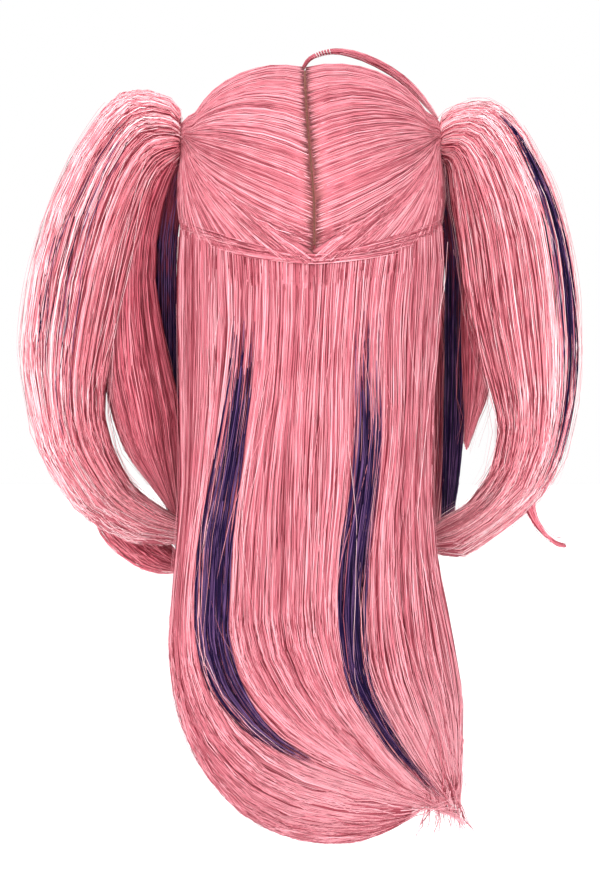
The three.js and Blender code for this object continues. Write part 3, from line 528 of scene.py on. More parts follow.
def crown_fullness(rows, columns):
    """The crown rises from the part and from the rolled edge, which lies flatter at the sides."""
    flow = np.linspace(0, 1, rows)[:, None]
    share = crown_shares(columns)[None, :]
    sides = smoothstep(52, 84, edge_degrees(share))
    ahead = 0.35 + 0.35 * smoothstep(0, 0.3 * FRONT_SHARE, share)
    ahead = ahead - 0.28 * smoothstep(0.8, 1, share / FRONT_SHARE)
    on_part = (share >= FRONT_SHARE) & (share <= PART_SHARE)
    low = np.where(share < FRONT_SHARE, ahead, np.where(on_part, 0.42, 0.85 - 0.5 * sides))
    spread = np.where(share < FRONT_SHARE, 0.45, np.where(on_part, 0.3, 0.25 + 0.4 * sides))
    gap = np.clip(1 - flow / spread, 0, 1)
    return 1 - (1 - low) * gap**2


def crown_sheet(side, drop, rows=18, columns=126):
    """The outside of one half of the crown, its roots some way under the hairline."""
    starts, bends = crown_starts(side, columns, drop)
    return gathered_sheet(side, starts, bends, crown_fullness(rows, columns))


# The rolled hair: first azimuth and sweep in degrees, lowest level at the hairline, width, and how it spreads
LIP_FROM = -6
LIP_SWEEP = 90
LIP_LOWEST = -3.0
LIP_WIDTH = 6
LIP_SPREAD = 20


def lip_sheet(side, rows=24, columns=9):
    """Hair that runs along the crown's lower edge from its middle and rises towards the side."""
    flow = np.linspace(0, 1, rows)[:, None]
    share = np.linspace(0, 1, columns)[None, :]
    degrees = LIP_FROM + LIP_SWEEP * flow
    rise = LIP_LOWEST + (LIP_WIDTH + LIP_SPREAD * flow**1.5) * share
    polar = polar_at_level(edge_level(HAIRLINE, degrees) + rise)
    fullness = 0.86 + 0.14 * smoothstep(-2, 9, rise)
    azimuth = np.broadcast_to(np.radians(degrees) * side, polar.shape)
    return hair_point(direction(azimuth, polar), fullness)


def crown_lining(side, drop, rows=18, columns=126):
    """The inside of one half of the crown, on the cap."""
    starts, bends = crown_starts(side, columns, drop)
    return gathered_sheet(side, starts, bends, np.full((rows, columns), LINING_FULLNESS), LINING_NECK)


def bundle_points(rows, places, turns, flutes, grow=0.0):
    """Points of a fluted bundle at places along it and turns round it, grown by a distance."""
    row = smooth_rows(rows, places)
    inner = np.stack([row[..., 0], row[..., 4], row[..., 1]], axis=-1)
    outer = np.stack([row[..., 2], row[..., 4], row[..., 3]], axis=-1)
    half = (outer - inner) / 2
    length = np.linalg.norm(half, axis=-1)
    swell = 1 + flutes["depth"] * np.cos(flutes["count"] * turns + places * flutes["drift"])
    wide = np.maximum(length * swell + grow, length * 0.2) / length
    deep = np.maximum(row[..., 5] * swell + grow, row[..., 5] * 0.2)
    through = np.zeros_like(half)
    through[..., 1] = deep * np.sin(turns)
    return (inner + outer) / 2 + half * (np.cos(turns) * wide)[..., None] + through


def bundle_sheet(rows, flutes, grow=0.0, steps=56, columns=49):
    """The closed surface of a fluted bundle, its seam on the side that faces forward."""
    places = np.linspace(0, len(rows) - 1, steps)[:, None]
    turns = -math.pi / 2 + np.linspace(0, 2 * math.pi, columns)[None, :]
    return bundle_points(rows, *np.broadcast_arrays(places, turns), flutes, grow)


def feathered(columns):
    """Places across a streak, -1 to 1, closer together at its middle."""
    share = np.linspace(-1, 1, columns)
    return np.sign(share) * np.abs(share) ** 1.5


def bundle_streak_sheet(rows, streak, steps=40, columns=7):
    """A narrow strip on a pigtail's surface between two of its rows."""
    share = np.linspace(0, 1, steps)
    places = streak["from"] + (streak["to"] - streak["from"]) * share
    row = smooth_rows(rows, places)
    girth = np.hypot(row[:, 2] - row[:, 0], row[:, 3] - row[:, 1]) / 2
    half = streak["half_width"] / girth * np.sin(np.pi * (0.08 + 0.84 * share)) ** 0.6
    turns = math.radians(streak["round"]) + half[:, None] * feathered(columns)[None, :]
    places = np.broadcast_to(places[:, None], turns.shape)
    return bundle_points(rows, places, turns, BUNDLE_FLUTES)


def lock_sheet(rows, turn_degrees, side, grow=0.0, steps=36, columns=25):
    """The closed surface of a hanging lock."""
    row = smooth_rows(rows, np.linspace(0, len(rows) - 1, steps))[:, None, :]
    turn = math.radians(turn_degrees)
    angle = np.linspace(0, 2 * math.pi, columns)[None, :, None]
    across = np.array([math.sin(turn) * side, math.cos(turn), 0])
    through = np.array([math.cos(turn) * side, -math.sin(turn), 0])
    centre = row[..., :3] * np.array([side, 1, 1])
    wide = np.maximum(row[..., 3:4] + grow, row[..., 3:4] * 0.3)
    deep = np.maximum(row[..., 4:5] + grow, row[..., 4:5] * 0.3)
    return centre + across * wide * np.cos(angle) + through * deep * np.sin(angle)


def arch_sheet(rows, grow=0.0, steps=40, columns=13):
    """The closed surface of the antenna lock, whose sections stand square to its arch."""
    row = smooth_rows(rows, np.linspace(0, len(rows) - 1, steps))
    along = np.gradient(row[:, :3], axis=0)
    rise = unit(np.cross(np.array([0, 1.0, 0]), along))
    across = unit(np.cross(along, rise))
    angle = np.linspace(0, 2 * math.pi, columns)[None, :, None]
    wide = rise[:, None, :] * (row[:, None, 3:4] + grow) * np.cos(angle)
    deep = across[:, None, :] * (row[:, None, 4:5] + grow) * np.sin(angle)
    return row[:, None, :3] + wide + deep


def fall_point(x, level, inside=0.0):
    """A point of the back fall, sunk from its outside (0) to its inside (1)."""
    row = rows_at_key(BACK_FALL, level)
    middle = (row[..., 1] + row[..., 2]) / 2
    half = (row[..., 1] - row[..., 2]) / 2
    sine = np.clip((x - middle) / half, -1, 1)
    sunk = row[..., 5] * inside
    beyond = x - (middle + half * sine)
    y = row[..., 4] + (row[..., 3] - row[..., 4] - sunk) * np.sqrt(1 - sine**2)
    return np.stack([middle + (half - sunk) * sine + beyond, y, level], axis=-1)


def off_the_cap(points, gap):
    """Points moved straight out from the head's axis until they clear the cap by a gap."""
    below = np.maximum(CENTRE_LEVEL - points[..., 2], 0) / SEAT["rise"]
    spread = 1 - NAPE_TAPER * below**2
    wide = points[..., 0] / (SEAT["half_width"] * spread + gap)
    deep = points[..., 1] / (SEAT["half_depth"] * spread + gap)
    push = np.where(points[..., 2] > UNDER_THE_CAP, np.maximum(1 / np.hypot(wide, deep), 1), 1)
    return points * np.stack([push, push, np.ones_like(push)], axis=-1)


def fall_sheet(inside=0.0, gap=0.2, rows=64, columns=FALL_COLUMNS, ends=None):
    """The back fall along its guide lines, from under the crown to its ends."""
    lines = np.stack([even_line(points, FALL_LINE_POINTS) for points in FALL_LINES])
    spread = smooth_rows(lines.reshape(len(lines), -1), np.linspace(0, len(lines) - 1, columns))
    spread = spread.reshape(columns, FALL_LINE_POINTS, 2)
    reach = np.ones(columns) if ends is None else ends
    flow = np.linspace(0, 1, rows)[:, None] * reach
    places = flow * (FALL_LINE_POINTS - 1)
    grid = np.stack([smooth_rows(line, places[:, column]) for column, line in enumerate(spread)], axis=1)
    thin = 1 - 0.8 * smoothstep(0.78, 0.97, flow)
    made = fall_point(grid[..., 0], grid[..., 1], inside * thin)
    across = np.linspace(-1, 1, columns)[None, :]
    tuck = FALL_TUCK * smoothstep(0.05, 0, flow) * (1 - across**8)
    made[..., 1] -= tuck
    return off_the_cap(made, gap)


def fall_wrap(columns=FALL_COLUMNS):
    """How deep the strands of the fall's inside lie in each column: out to its edges at both sides."""
    return smoothstep(1.0, 0.95, np.abs(np.linspace(-1, 1, columns)))[None, :]


def fall_edge_sheet(side):
    """The side wall of the fall, from its outside to its inside."""
    column = 0 if side > 0 else -1
    return np.stack([fall_sheet(inside)[:, column] for inside in np.linspace(0.1, 1, 6)], axis=1)


def fall_core_ends(columns=FALL_COLUMNS):
    """How far down the dense hair goes in each column: in locks of uneven length."""
    share = np.linspace(0, 1, columns)
    return 0.984 + 0.004 * np.sin(share * 61) + 0.003 * np.sin(share * 137 + 1)


def fall_ends_sheet():
    """The lower end of the fall, carried on past its ends for loose wisps."""
    whole = fall_sheet()
    ends = whole[-16:, 2:]
    step = (ends[-1] - ends[-4]) / 3
    beyond = [ends[-1] + step * (count + 1) for count in range(4)]
    return np.concatenate([ends, np.array(beyond)])


def frayed_sheet(rows=14, columns=9):
    """The ends at the right of the fall, fanned out under its edge."""
    row = smooth_rows(FRAYED_ENDS, np.linspace(0, len(FRAYED_ENDS) - 1, rows))
    x = row[:, 0:1] + (row[:, 1:2] - row[:, 0:1]) * np.linspace(0, 1, columns)
    return fall_point(x, np.broadcast_to(row[:, 2:3], x.shape))


def streak_sheet(rows, steps=44, columns=9):
    """A purple streak laid on the back fall, a little proud of it along its middle."""
    row = smooth_rows(rows, np.linspace(0, len(rows) - 1, steps))
    slope = np.gradient(row[:, :2], axis=0)
    square = unit(np.stack([-slope[:, 1], slope[:, 0]], axis=-1))
    share = feathered(columns)[None, :]
    x = row[:, 0:1] - square[:, 0:1] * row[:, 2:3] * share
    level = row[:, 1:2] - square[:, 1:2] * row[:, 2:3] * share
    made = fall_point(x, level)
    flow = np.linspace(0, 1, steps)[:, None]
    proud = STREAK_RISE * (1 - share**2) * smoothstep(0.05, 0.4, flow)
    made[..., 1] += proud - STREAK_SUNK_TOP * smoothstep(0.25, 0, flow)
    return made


def fringe_sheet(thickness=0.0, end=1.0, rows=20, columns=61):
    """Hair over the forehead, from under the crown's front edge to the brows."""
    share = np.linspace(0, 1, columns)[None, :]
    degrees = FRINGE_FROM + (FRINGE_TO - FRINGE_FROM) * share
    flow = np.linspace(0, end, rows)[:, None]
    top = edge_level(CROWN_EDGE, degrees) + 5
    low = FRINGE_TIP_LEVEL - FRINGE_END_DROP * (2 * share - 1) ** 2
    polar = polar_at_level(top + (low - top) * flow)
    fullness = 0.5 + 0.25 * smoothstep(0, 0.5, flow) - 0.1 * smoothstep(0.6, 1, flow) - thickness
    return hair_point(direction(np.radians(degrees), polar), np.broadcast_to(fullness, polar.shape))


# Meshes

def link(name, mesh):
    """A new object in the scene."""
    made = bpy.data.objects.new(name, mesh)
    bpy.context.scene.collection.objects.link(made)
    return made


def mesh_object(name, points, faces, maps, material):
    """A smooth mesh from points in millimetres, faces, and the map place of each face corner."""
    mesh = bpy.data.meshes.new(name)
    mesh.from_pydata((np.asarray(points) * MM).tolist(), [], [list(face) for face in faces])
    layer = mesh.uv_layers.new(name="OFBake")
    layer.data.foreach_set("uv", np.concatenate([np.asarray(place, np.float32).ravel() for place in maps]))
    mesh.shade_smooth()
    mesh.materials.append(material)
    return link(name, mesh)


def grid_faces(rows, columns, first=0):
    """Faces of a grid of points, and the map places of their corners."""
    index = first + np.arange(rows * columns).reshape(rows, columns)
    faces = np.stack([index[:-1, :-1], index[:-1, 1:], index[1:, 1:], index[1:, :-1]], axis=-1).reshape(-1, 4)
    across, along = np.meshgrid(np.linspace(0, 1, columns), np.linspace(0, 1, rows))
    place = np.stack([across, along], axis=-1).reshape(-1, 2)
    return faces, place[faces - first]


def looks_out(grid, outward):
    """True if the faces of a grid, in the order of grid_faces, look outward."""
    first = grid[1:, 1:] - grid[:-1, :-1]
    second = grid[1:, :-1] - grid[:-1, 1:]
    middle = (grid[1:, 1:] + grid[:-1, :-1] + grid[1:, :-1] + grid[:-1, 1:]) / 4
    return np.sum(np.cross(first, second) * outward(middle)) > 0


def guide_object(name, grid, outward):
    """A guide sheet as a mesh with a map across and along; outward gives the way its faces look."""
    rows, columns = grid.shape[:2]
    faces, places = grid_faces(rows, columns)
    if not looks_out(grid, outward):
        faces = faces[:, ::-1]
        places = places[:, ::-1]
    mesh = bpy.data.meshes.new(name)
    mesh.from_pydata((grid.reshape(-1, 3) * MM).tolist(), [], faces.tolist())
    layer = mesh.uv_layers.new(name="guide")
    layer.data.foreach_set("uv", places.astype(np.float32).ravel())
    mesh.shade_smooth()
    return link(name, mesh)


# A shell's map: its outer face below, its inner face above, the walls of its rim between and beside them
FACE_WIDTH = 0.94
FACE_HEIGHT = 0.48
INNER_FACE_FROM = 0.52
ROOT_WALL = 0.482
TIP_WALL = 0.502
WALL_HEIGHT = 0.016
FIRST_WALL = 0.95
SECOND_WALL = 0.98
WALL_WIDTH = 0.02


def rim_map(rows, columns):
    """Map places for the walls round a shell's rim, laid so that streaks run along its strands."""
    across = np.linspace(0, FACE_WIDTH, columns)
    along = np.linspace(0, 1, rows)
    ends = np.concatenate(
        [
            np.stack([across, np.full(columns, ROOT_WALL)], axis=-1),
            np.stack([np.full(rows, FIRST_WALL), along], axis=-1)[1:],
            np.stack([across[::-1], np.full(columns, TIP_WALL)], axis=-1)[1:],
            np.stack([np.full(rows, SECOND_WALL), along[::-1]], axis=-1)[1:],
        ]
    )
    before = ends[:-1].copy()
    after = ends[1:].copy()
    # each wall starts at its own corner of the map, not at the last one of the wall before it
    corners = np.cumsum([0, columns - 1, rows - 1, columns - 1])
    before[corners] = ((0, ROOT_WALL), (FIRST_WALL, 0), (FACE_WIDTH, TIP_WALL), (SECOND_WALL, 1))
    step = np.zeros_like(before)
    ways = ((0, WALL_HEIGHT), (WALL_WIDTH, 0)) * 2
    for first, last, way in zip(corners, [*corners[1:], len(before)], ways):
        step[first:last] = way
    return np.stack([after, before, before + step, after + step], axis=1)


def shell_object(name, outside, inside, outward, material):
    """A closed shell between two grids of one size: dense hair with an outer and an inner face."""
    rows, columns = outside.shape[:2]
    count = rows * columns
    outer, outer_map = grid_faces(rows, columns)
    inner, inner_map = grid_faces(rows, columns, count)
    rim = np.concatenate(
        [
            np.arange(columns),
            np.arange(1, rows) * columns + columns - 1,
            count - 2 - np.arange(columns - 1),
            (rows - 2 - np.arange(rows - 2)) * columns,
        ]
    )
    after = np.roll(rim, -1)
    wall = np.stack([after, rim, rim + count, after + count], axis=-1)
    wall_map = rim_map(rows, columns)
    face_size = np.array([FACE_WIDTH, FACE_HEIGHT])
    outer_map = outer_map * face_size
    inner_map = inner_map[:, ::-1] * face_size + np.array([0, INNER_FACE_FROM])
    faces = [outer, inner[:, ::-1], wall]
    maps = [outer_map, inner_map, wall_map]
    if not looks_out(outside, outward):
        faces = [part[:, ::-1] for part in faces]
        maps = [part[:, ::-1] for part in maps]
    points = np.concatenate([outside.reshape(-1, 3), inside.reshape(-1, 3)])
    return mesh_object(name, points, np.concatenate(faces), maps, material)


def tube_object(name, grid, outward, material):
    """A closed tube from a grid whose last column repeats its first, with its two ends shut."""
    rows, columns = grid.shape[:2]
    around = columns - 1
    faces, places = grid_faces(rows, columns)
    row, column = np.divmod(faces, columns)
    faces = row * around + column % around
    ends = [grid[0, :-1].mean(axis=0), grid[-1, :-1].mean(axis=0)]
    points = np.concatenate([grid[:, :-1].reshape(-1, 3), ends])
    ring = np.arange(around)
    after = np.roll(ring, -1)
    top = np.stack([ring, np.full(around, rows * around), after], axis=-1)
    last = (rows - 1) * around
    bottom = np.stack([last + after, np.full(around, rows * around + 1), last + ring], axis=-1)
    share = np.linspace(0, 1, columns)
    top_map = np.stack(
        [
            np.stack([share[:-1], np.full(around, 0.01)], axis=-1),
            np.stack([(share[:-1] + share[1:]) / 2, np.zeros(around)], axis=-1),
            np.stack([share[1:], np.full(around, 0.01)], axis=-1),
        ],
        axis=1,
    )
    bottom_map = np.array([0, 1]) + top_map[:, ::-1] * np.array([1, -1])
    sides = [faces, top, bottom]
    maps = [places, top_map, bottom_map]
    if not looks_out(grid, outward):
        sides = [part[:, ::-1] for part in sides]
        maps = [part[:, ::-1] for part in maps]
    return mesh_object(name, points, [face for part in sides for face in part.tolist()], maps, material)


def cord_grid(points, radius, sides=6):
    """A grid round a line of points, for a thread or a seam."""
    points = np.asarray(points, float)
    along = unit(np.gradient(points, axis=0))
    helper = np.where(np.abs(along[:, 2:3]) < 0.9, np.array([[0, 0, 1.0]]), np.array([[0, 1.0, 0]]))
    first = unit(np.cross(along, helper))
    second = np.cross(along, first)
    angle = np.linspace(0, 2 * math.pi, sides + 1)[None, :, None]
    ring = first[:, None, :] * np.cos(angle) + second[:, None, :] * np.sin(angle)
    return points[:, None, :] + radius * ring


def away_from_line(line):
    """Outward ways for a tube: away from the nearest point of its middle line."""
    def ways(points):
        flat = points.reshape(-1, 3)
        gaps = np.linalg.norm(flat[:, None, :] - line[None, :, :], axis=-1)
        return (flat - line[np.argmin(gaps, axis=1)]).reshape(points.shape)

    return ways


def cord_object(name, line, radius, material, sides=6):
    """A round cord along a line."""
    return tube_object(name, cord_grid(line, radius, sides), away_from_line(line), material)


def away_from_rings(grid):
    """Outward ways for a tube: away from the middle of each of its rings."""
    return away_from_line(grid[:, :-1].mean(axis=1))


def away_from_head(points):
    """Outward ways for hair laid on the head."""
    return points - np.array([0, 0, CENTRE_LEVEL])


def one_way(x, y):
    """Outward ways that are alike all over a sheet, for the faces of the back fall."""
    return lambda points: np.broadcast_to(np.array([x, y, 0.0]), points.shape)


backward = one_way(0.0, 1.0)
forward = one_way(0.0, -1.0)


# Node trees

class Sum:
    """A number out of a node: sums written with it add math nodes to the same tree."""

    def __init__(self, socket):
        self.socket = socket

    def math(self, operation, *values):
        """The result of one more math node."""
        return calc(self.socket.id_data, operation, *values)

    def __add__(self, other):
        return self.math("ADD", self, other)

    def __sub__(self, other):
        return self.math("SUBTRACT", self, other)

    def __rsub__(self, other):
        return self.math("SUBTRACT", other, self)

    def __mul__(self, other):
        return self.math("MULTIPLY", self, other)

    def __truediv__(self, other):
        return self.math("DIVIDE", self, other)

    def __pow__(self, other):
        return self.math("POWER", self, other)


def add_node(tree, kind, inputs=None, **settings):
    """A new node, its settings, and its inputs by name or number, each a value, a sum or a socket to link."""
    made = tree.nodes.new(kind)
    for name, value in settings.items():
        setattr(made, name, value)
    for key, value in (inputs or {}).items():
        if isinstance(value, Sum):
            value = value.socket
        if isinstance(value, bpy.types.NodeSocket):
            tree.links.new(value, made.inputs[key])
        else:
            made.inputs[key].default_value = value
    return made


def calc(tree, operation, *values):
    """The result of one math node."""
    return Sum(add_node(tree, "ShaderNodeMath", dict(enumerate(values)), operation=operation).outputs[0])


def vector_calc(tree, operation, first, second=None, scale=None):
    """The result of one vector math node."""
    inputs = {0: first}
    if second is not None:
        inputs[1] = second
    if scale is not None:
        inputs["Scale"] = scale
    return add_node(tree, "ShaderNodeVectorMath", inputs, operation=operation).outputs[0]


def soft_range(tree, value, low, high, to_low=0.0, to_high=1.0):
    """A value mapped from one range to another with a soft rise."""
    inputs = {"Value": value, "From Min": low, "From Max": high, "To Min": to_low, "To Max": to_high}
    made = add_node(tree, "ShaderNodeMapRange", inputs, interpolation_type="SMOOTHSTEP")
    return Sum(made.outputs["Result"])


def mix_colour(tree, share, first, second):
    """Two colours mixed."""
    made = add_node(tree, "ShaderNodeMix", {0: share, 6: first, 7: second}, data_type="RGBA")
    return made.outputs[2]


# Inputs of the strand tree: name, kind of socket, and the value where a piece gives none
STRAND_INPUTS = (
    ("Count", "NodeSocketInt", 500),
    ("Points", "NodeSocketInt", 16),
    ("Thickness", "NodeSocketFloat", 0.0006),
    ("Depth", "NodeSocketFloat", 0.0012),
    ("Lift", "NodeSocketFloat", 0.0),
    ("Relief", "NodeSocketFloat", 0.0012),
    ("Wisps", "NodeSocketFloat", 90.0),
    ("Looseness", "NodeSocketFloat", 1.0),
    ("Bends", "NodeSocketFloat", 5.0),
    ("Waviness", "NodeSocketFloat", 0.01),
    ("Clumps", "NodeSocketFloat", 20.0),
    ("Clumping", "NodeSocketFloat", 0.3),
    ("Root Jitter", "NodeSocketFloat", 0.02),
    ("Tip Jitter", "NodeSocketFloat", 0.1),
    ("Tip Bias", "NodeSocketFloat", 2.0),
    ("Stray Share", "NodeSocketFloat", 0.02),
    ("Stray Reach", "NodeSocketFloat", 0.006),
    ("Tone Swing", "NodeSocketFloat", 0.0),
    ("Seed", "NodeSocketInt", 1),
    ("Material", "NodeSocketMaterial", None),
)
# The last place along a sheet that a strand reaches, and the first and last across it
SHEET_END = 0.999
SHEET_FIRST = 0.002
SHEET_LAST = 0.998
# Bends along a wisp, swells across a sheet with their bends, and bends of the weave up and down
WISP_BENDS = 3.0
SWELLS = 4.5
SWELL_BENDS = 5.0
WEAVE_BENDS = 7.0
WEAVE_SHIFT = 0.37
# Heights: of the weave in layer depths, of a wisp along its length and at its middle in reliefs
WEAVE_HEIGHT = 1.8
WISP_HEAVE = 0.8
WISP_SUNK = 0.3
WISP_EDGE_DROP = 0.5
# Stray strands: how far they drift in reaches, and how much thinner they are
STRAY_DRIFT = 3.0
STRAY_THINNER = -0.4
# Thickness: its least share, what chance adds, where a strand starts to thin out, and its share at the tip
THICKNESS_LEAST = 0.3
THICKNESS_CHANCE = 0.5
TAPER_FROM = 0.7
TIP_SHARE = 0.3
# The strands' map: its first column, its width, and the step between a strand's corners
MAP_FIRST = 0.01
MAP_WIDTH = 0.96
MAP_CORNER = 0.006
# How wisps differ in width, and how far apart on the noise neighbouring strands are
WISP_WARP = 3.0
WISP_WARP_STEP = 0.37
NOISE_STEP = 3.17
# A tone from 0, dark, to 1, light: the lowest, the shares of the strand, its clump and its wisp, and the
# painted shade at a wisp's edge
TONE_LOWEST = 0.08
TONE_OF_STRAND = 0.66
TONE_OF_CLUMP = 0.06
TONE_OF_WISP = 0.12
PAINTED_SHADE_AT_WISP_EDGE = -0.1


def strand_tree():
    """Strands over a guide sheet: each follows the sheet's map from root to tip."""
    known = bpy.data.node_groups.get("Strands over a sheet")
    if known:
        return known
    tree = bpy.data.node_groups.new("Strands over a sheet", "GeometryNodeTree")
    face = tree.interface
    face.new_socket("Geometry", in_out="INPUT", socket_type="NodeSocketGeometry")
    for name, kind, default in STRAND_INPUTS:
        socket = face.new_socket(name, in_out="INPUT", socket_type=kind)
        if default is not None:
            socket.default_value = default
    face.new_socket("Geometry", in_out="OUTPUT", socket_type="NodeSocketGeometry")
    outlets = tree.nodes.new("NodeGroupInput").outputs
    given = {outlet.name: Sum(outlet) for outlet in outlets}

    # one straight curve for each strand
    line = add_node(tree, "GeometryNodeCurvePrimitiveLine", {"End": (0, 0, 1)}).outputs[0]
    line = add_node(tree, "GeometryNodeResampleCurve", {"Curve": line, "Count": given["Points"]}).outputs[0]
    copies = add_node(
        tree, "GeometryNodeDuplicateElements", {"Geometry": line, "Amount": given["Count"]}, domain="SPLINE"
    )
    index = Sum(copies.outputs["Duplicate Index"])
    factor = Sum(add_node(tree, "GeometryNodeSplineParameter").outputs["Factor"])

    def chance(step, identity=index):
        inputs = {"ID": identity, "Seed": given["Seed"] + float(step)}
        return Sum(add_node(tree, "FunctionNodeRandomValue", inputs, data_type="FLOAT").outputs[1])

    # where along the sheet the strand starts and ends
    start = given["Root Jitter"] * chance(1)
    end = SHEET_END - given["Tip Jitter"] * chance(2) ** given["Tip Bias"]
    along = factor * (end - start) + start

    # where across the sheet: spread evenly, in wisps of uneven width that wave together, drawn into clumps
    place = (index + chance(3)) / given["Count"]
    clump = calc(tree, "FLOOR", place * given["Clumps"])
    clump_chance = chance(4, clump)
    middle = (clump + (clump_chance * 0.6 + 0.2)) / given["Clumps"]
    pull = given["Clumping"] * soft_range(tree, along, 0.0, 1.0) * (chance(5) * 0.5 + 0.5)
    count = place * given["Wisps"]
    warp = add_node(
        tree, "ShaderNodeTexNoise", {"W": count * WISP_WARP_STEP, "Detail": 0.0}, noise_dimensions="1D"
    )
    count = (Sum(warp.outputs["Fac"]) - 0.5) * WISP_WARP + count
    wisp = calc(tree, "FLOOR", count)
    wisp_chance = chance(11, wisp)
    edge = calc(tree, "ABSOLUTE", calc(tree, "FRACT", count) * 2.0 - 1.0)
    edge = edge * edge
    place = (middle - place) * pull + place

    def wander(number, bends):
        spot = {0: number * NOISE_STEP, 1: along * bends, 2: given["Seed"]}
        vector = add_node(tree, "ShaderNodeCombineXYZ", spot).outputs[0]
        return add_node(tree, "ShaderNodeTexNoise", {"Vector": vector, "Scale": 1.0, "Detail": 1.0})

    def wave(number, bends):
        return Sum(wander(number, bends).outputs["Fac"]) - 0.5

    noise = wander(index, given["Bends"])
    fine = (Sum(noise.outputs["Fac"]) - 0.5) * given["Looseness"] / given["Wisps"]
    wisp_wave = wave(wisp, WISP_BENDS)
    sway = (wisp_wave + wave(place * SWELLS, SWELL_BENDS)) * given["Waviness"]
    place = place + (fine + sway)
    place = calc(tree, "MINIMUM", calc(tree, "MAXIMUM", place, SHEET_FIRST), SHEET_LAST)

    # the place on the sheet, at some depth under it, with a few strands standing off
    spot = add_node(tree, "ShaderNodeCombineXYZ", {0: place, 1: along}).outputs[0]
    guide = add_node(
        tree, "GeometryNodeInputNamedAttribute", {"Name": "guide"}, data_type="FLOAT_VECTOR"
    ).outputs[0]

    def on_sheet(field):
        inputs = {"Mesh": given["Geometry"], "Value": field, "UV Map": guide, "Sample UV": spot}
        return add_node(tree, "GeometryNodeSampleUVSurface", inputs, data_type="FLOAT_VECTOR").outputs[0]

    position = on_sheet(add_node(tree, "GeometryNodeInputPosition").outputs[0])
    normal = on_sheet(add_node(tree, "GeometryNodeInputNormal").outputs[0])
    stray = calc(tree, "LESS_THAN", chance(7), given["Stray Share"])
    reach = stray * given["Stray Reach"] * soft_range(tree, along, 0.1, 1.0)
    proud = wisp_chance - WISP_SUNK - edge * WISP_EDGE_DROP
    lift = chance(6) * given["Depth"] * -1.0 + given["Lift"]
    lift = proud * given["Relief"] + lift
    lift = reach * chance(8) + lift
    lift = wave(index + WEAVE_SHIFT, WEAVE_BENDS) * given["Depth"] * WEAVE_HEIGHT + lift
    lift = wisp_wave * given["Relief"] * WISP_HEAVE + lift
    offset = vector_calc(tree, "SCALE", normal, scale=lift)
    drift = vector_calc(tree, "SUBTRACT", noise.outputs["Color"], (0.5, 0.5, 0.5))
    drift = vector_calc(tree, "SCALE", drift, scale=reach * STRAY_DRIFT)
    offset = vector_calc(tree, "ADD", offset, drift)
    strands = add_node(
        tree,
        "GeometryNodeSetPosition",
        {"Geometry": copies.outputs["Geometry"], "Position": position, "Offset": offset},
    ).outputs[0]

    turned = chance(12) * (2 * math.pi)
    strands = add_node(tree, "GeometryNodeSetCurveTilt", {"Curve": strands, "Tilt": turned}).outputs[0]

    # what the finish reads: a tone for each strand, and the place along it
    tone = chance(9) * TONE_OF_STRAND + TONE_LOWEST
    tone = clump_chance * TONE_OF_CLUMP + tone
    tone = wisp_chance * TONE_OF_WISP + tone
    # painted light on the outer side of a bundle and painted shade on its inner side, a sine round it
    swing = calc(tree, "SINE", place * (2 * math.pi)) * given["Tone Swing"]
    # strands at a wisp's edge are darkened: painted shade between the wisps
    tone = edge * PAINTED_SHADE_AT_WISP_EDGE + tone + swing
    tone = calc(tree, "MINIMUM", calc(tree, "MAXIMUM", tone, 0.0), 1.0)
    for name, value in (("tone", tone), ("along", along)):
        strands = add_node(
            tree,
            "GeometryNodeStoreNamedAttribute",
            {"Geometry": strands, "Name": name, "Value": value},
            data_type="FLOAT",
            domain="POINT",
        ).outputs[0]

    # three-sided closed tubes that thin out at the tip
    thin = soft_range(tree, factor, TAPER_FROM, 1.0, 1.0, TIP_SHARE)
    width = given["Thickness"] * (chance(10) * THICKNESS_CHANCE + THICKNESS_LEAST)
    width = width * (stray * STRAY_THINNER + 1.0) * thin
    ring = add_node(tree, "GeometryNodeCurvePrimitiveCircle", {"Resolution": 3, "Radius": 1.0}).outputs[0]
    ring = add_node(
        tree,
        "GeometryNodeStoreNamedAttribute",
        {"Geometry": ring, "Name": "corner", "Value": add_node(tree, "GeometryNodeInputIndex").outputs[0]},
        data_type="FLOAT",
        domain="POINT",
    ).outputs[0]
    tubes = add_node(
        tree,
        "GeometryNodeCurveToMesh",
        {"Curve": strands, "Profile Curve": ring, "Scale": width, "Fill Caps": True},
    ).outputs[0]

    # a map on which strands of one tone share a column
    tone, along, corner = (
        Sum(add_node(tree, "GeometryNodeInputNamedAttribute", {"Name": name}, data_type="FLOAT").outputs[0])
        for name in ("tone", "along", "corner")
    )
    column = corner * MAP_CORNER + (tone * MAP_WIDTH + MAP_FIRST)
    map_spot = add_node(tree, "ShaderNodeCombineXYZ", {0: column, 1: along}).outputs[0]
    mapped = add_node(
        tree,
        "GeometryNodeStoreNamedAttribute",
        {"Geometry": tubes, "Name": "OFBake"},
        data_type="FLOAT2",
        domain="CORNER",
    )
    wanted = next(socket for socket in mapped.inputs if socket.name == "Value" and socket.enabled)
    tree.links.new(map_spot, wanted)
    smooth = add_node(tree, "GeometryNodeSetShadeSmooth", {"Geometry": mapped.outputs[0]}).outputs[0]
    real = add_node(tree, "GeometryNodeRealizeInstances", {"Geometry": smooth}).outputs[0]
    painted = add_node(tree, "GeometryNodeSetMaterial", {"Geometry": real, "Material": given["Material"]})
    result = tree.nodes.new("NodeGroupOutput")
    tree.links.new(painted.outputs[0], result.inputs[0])
    return tree


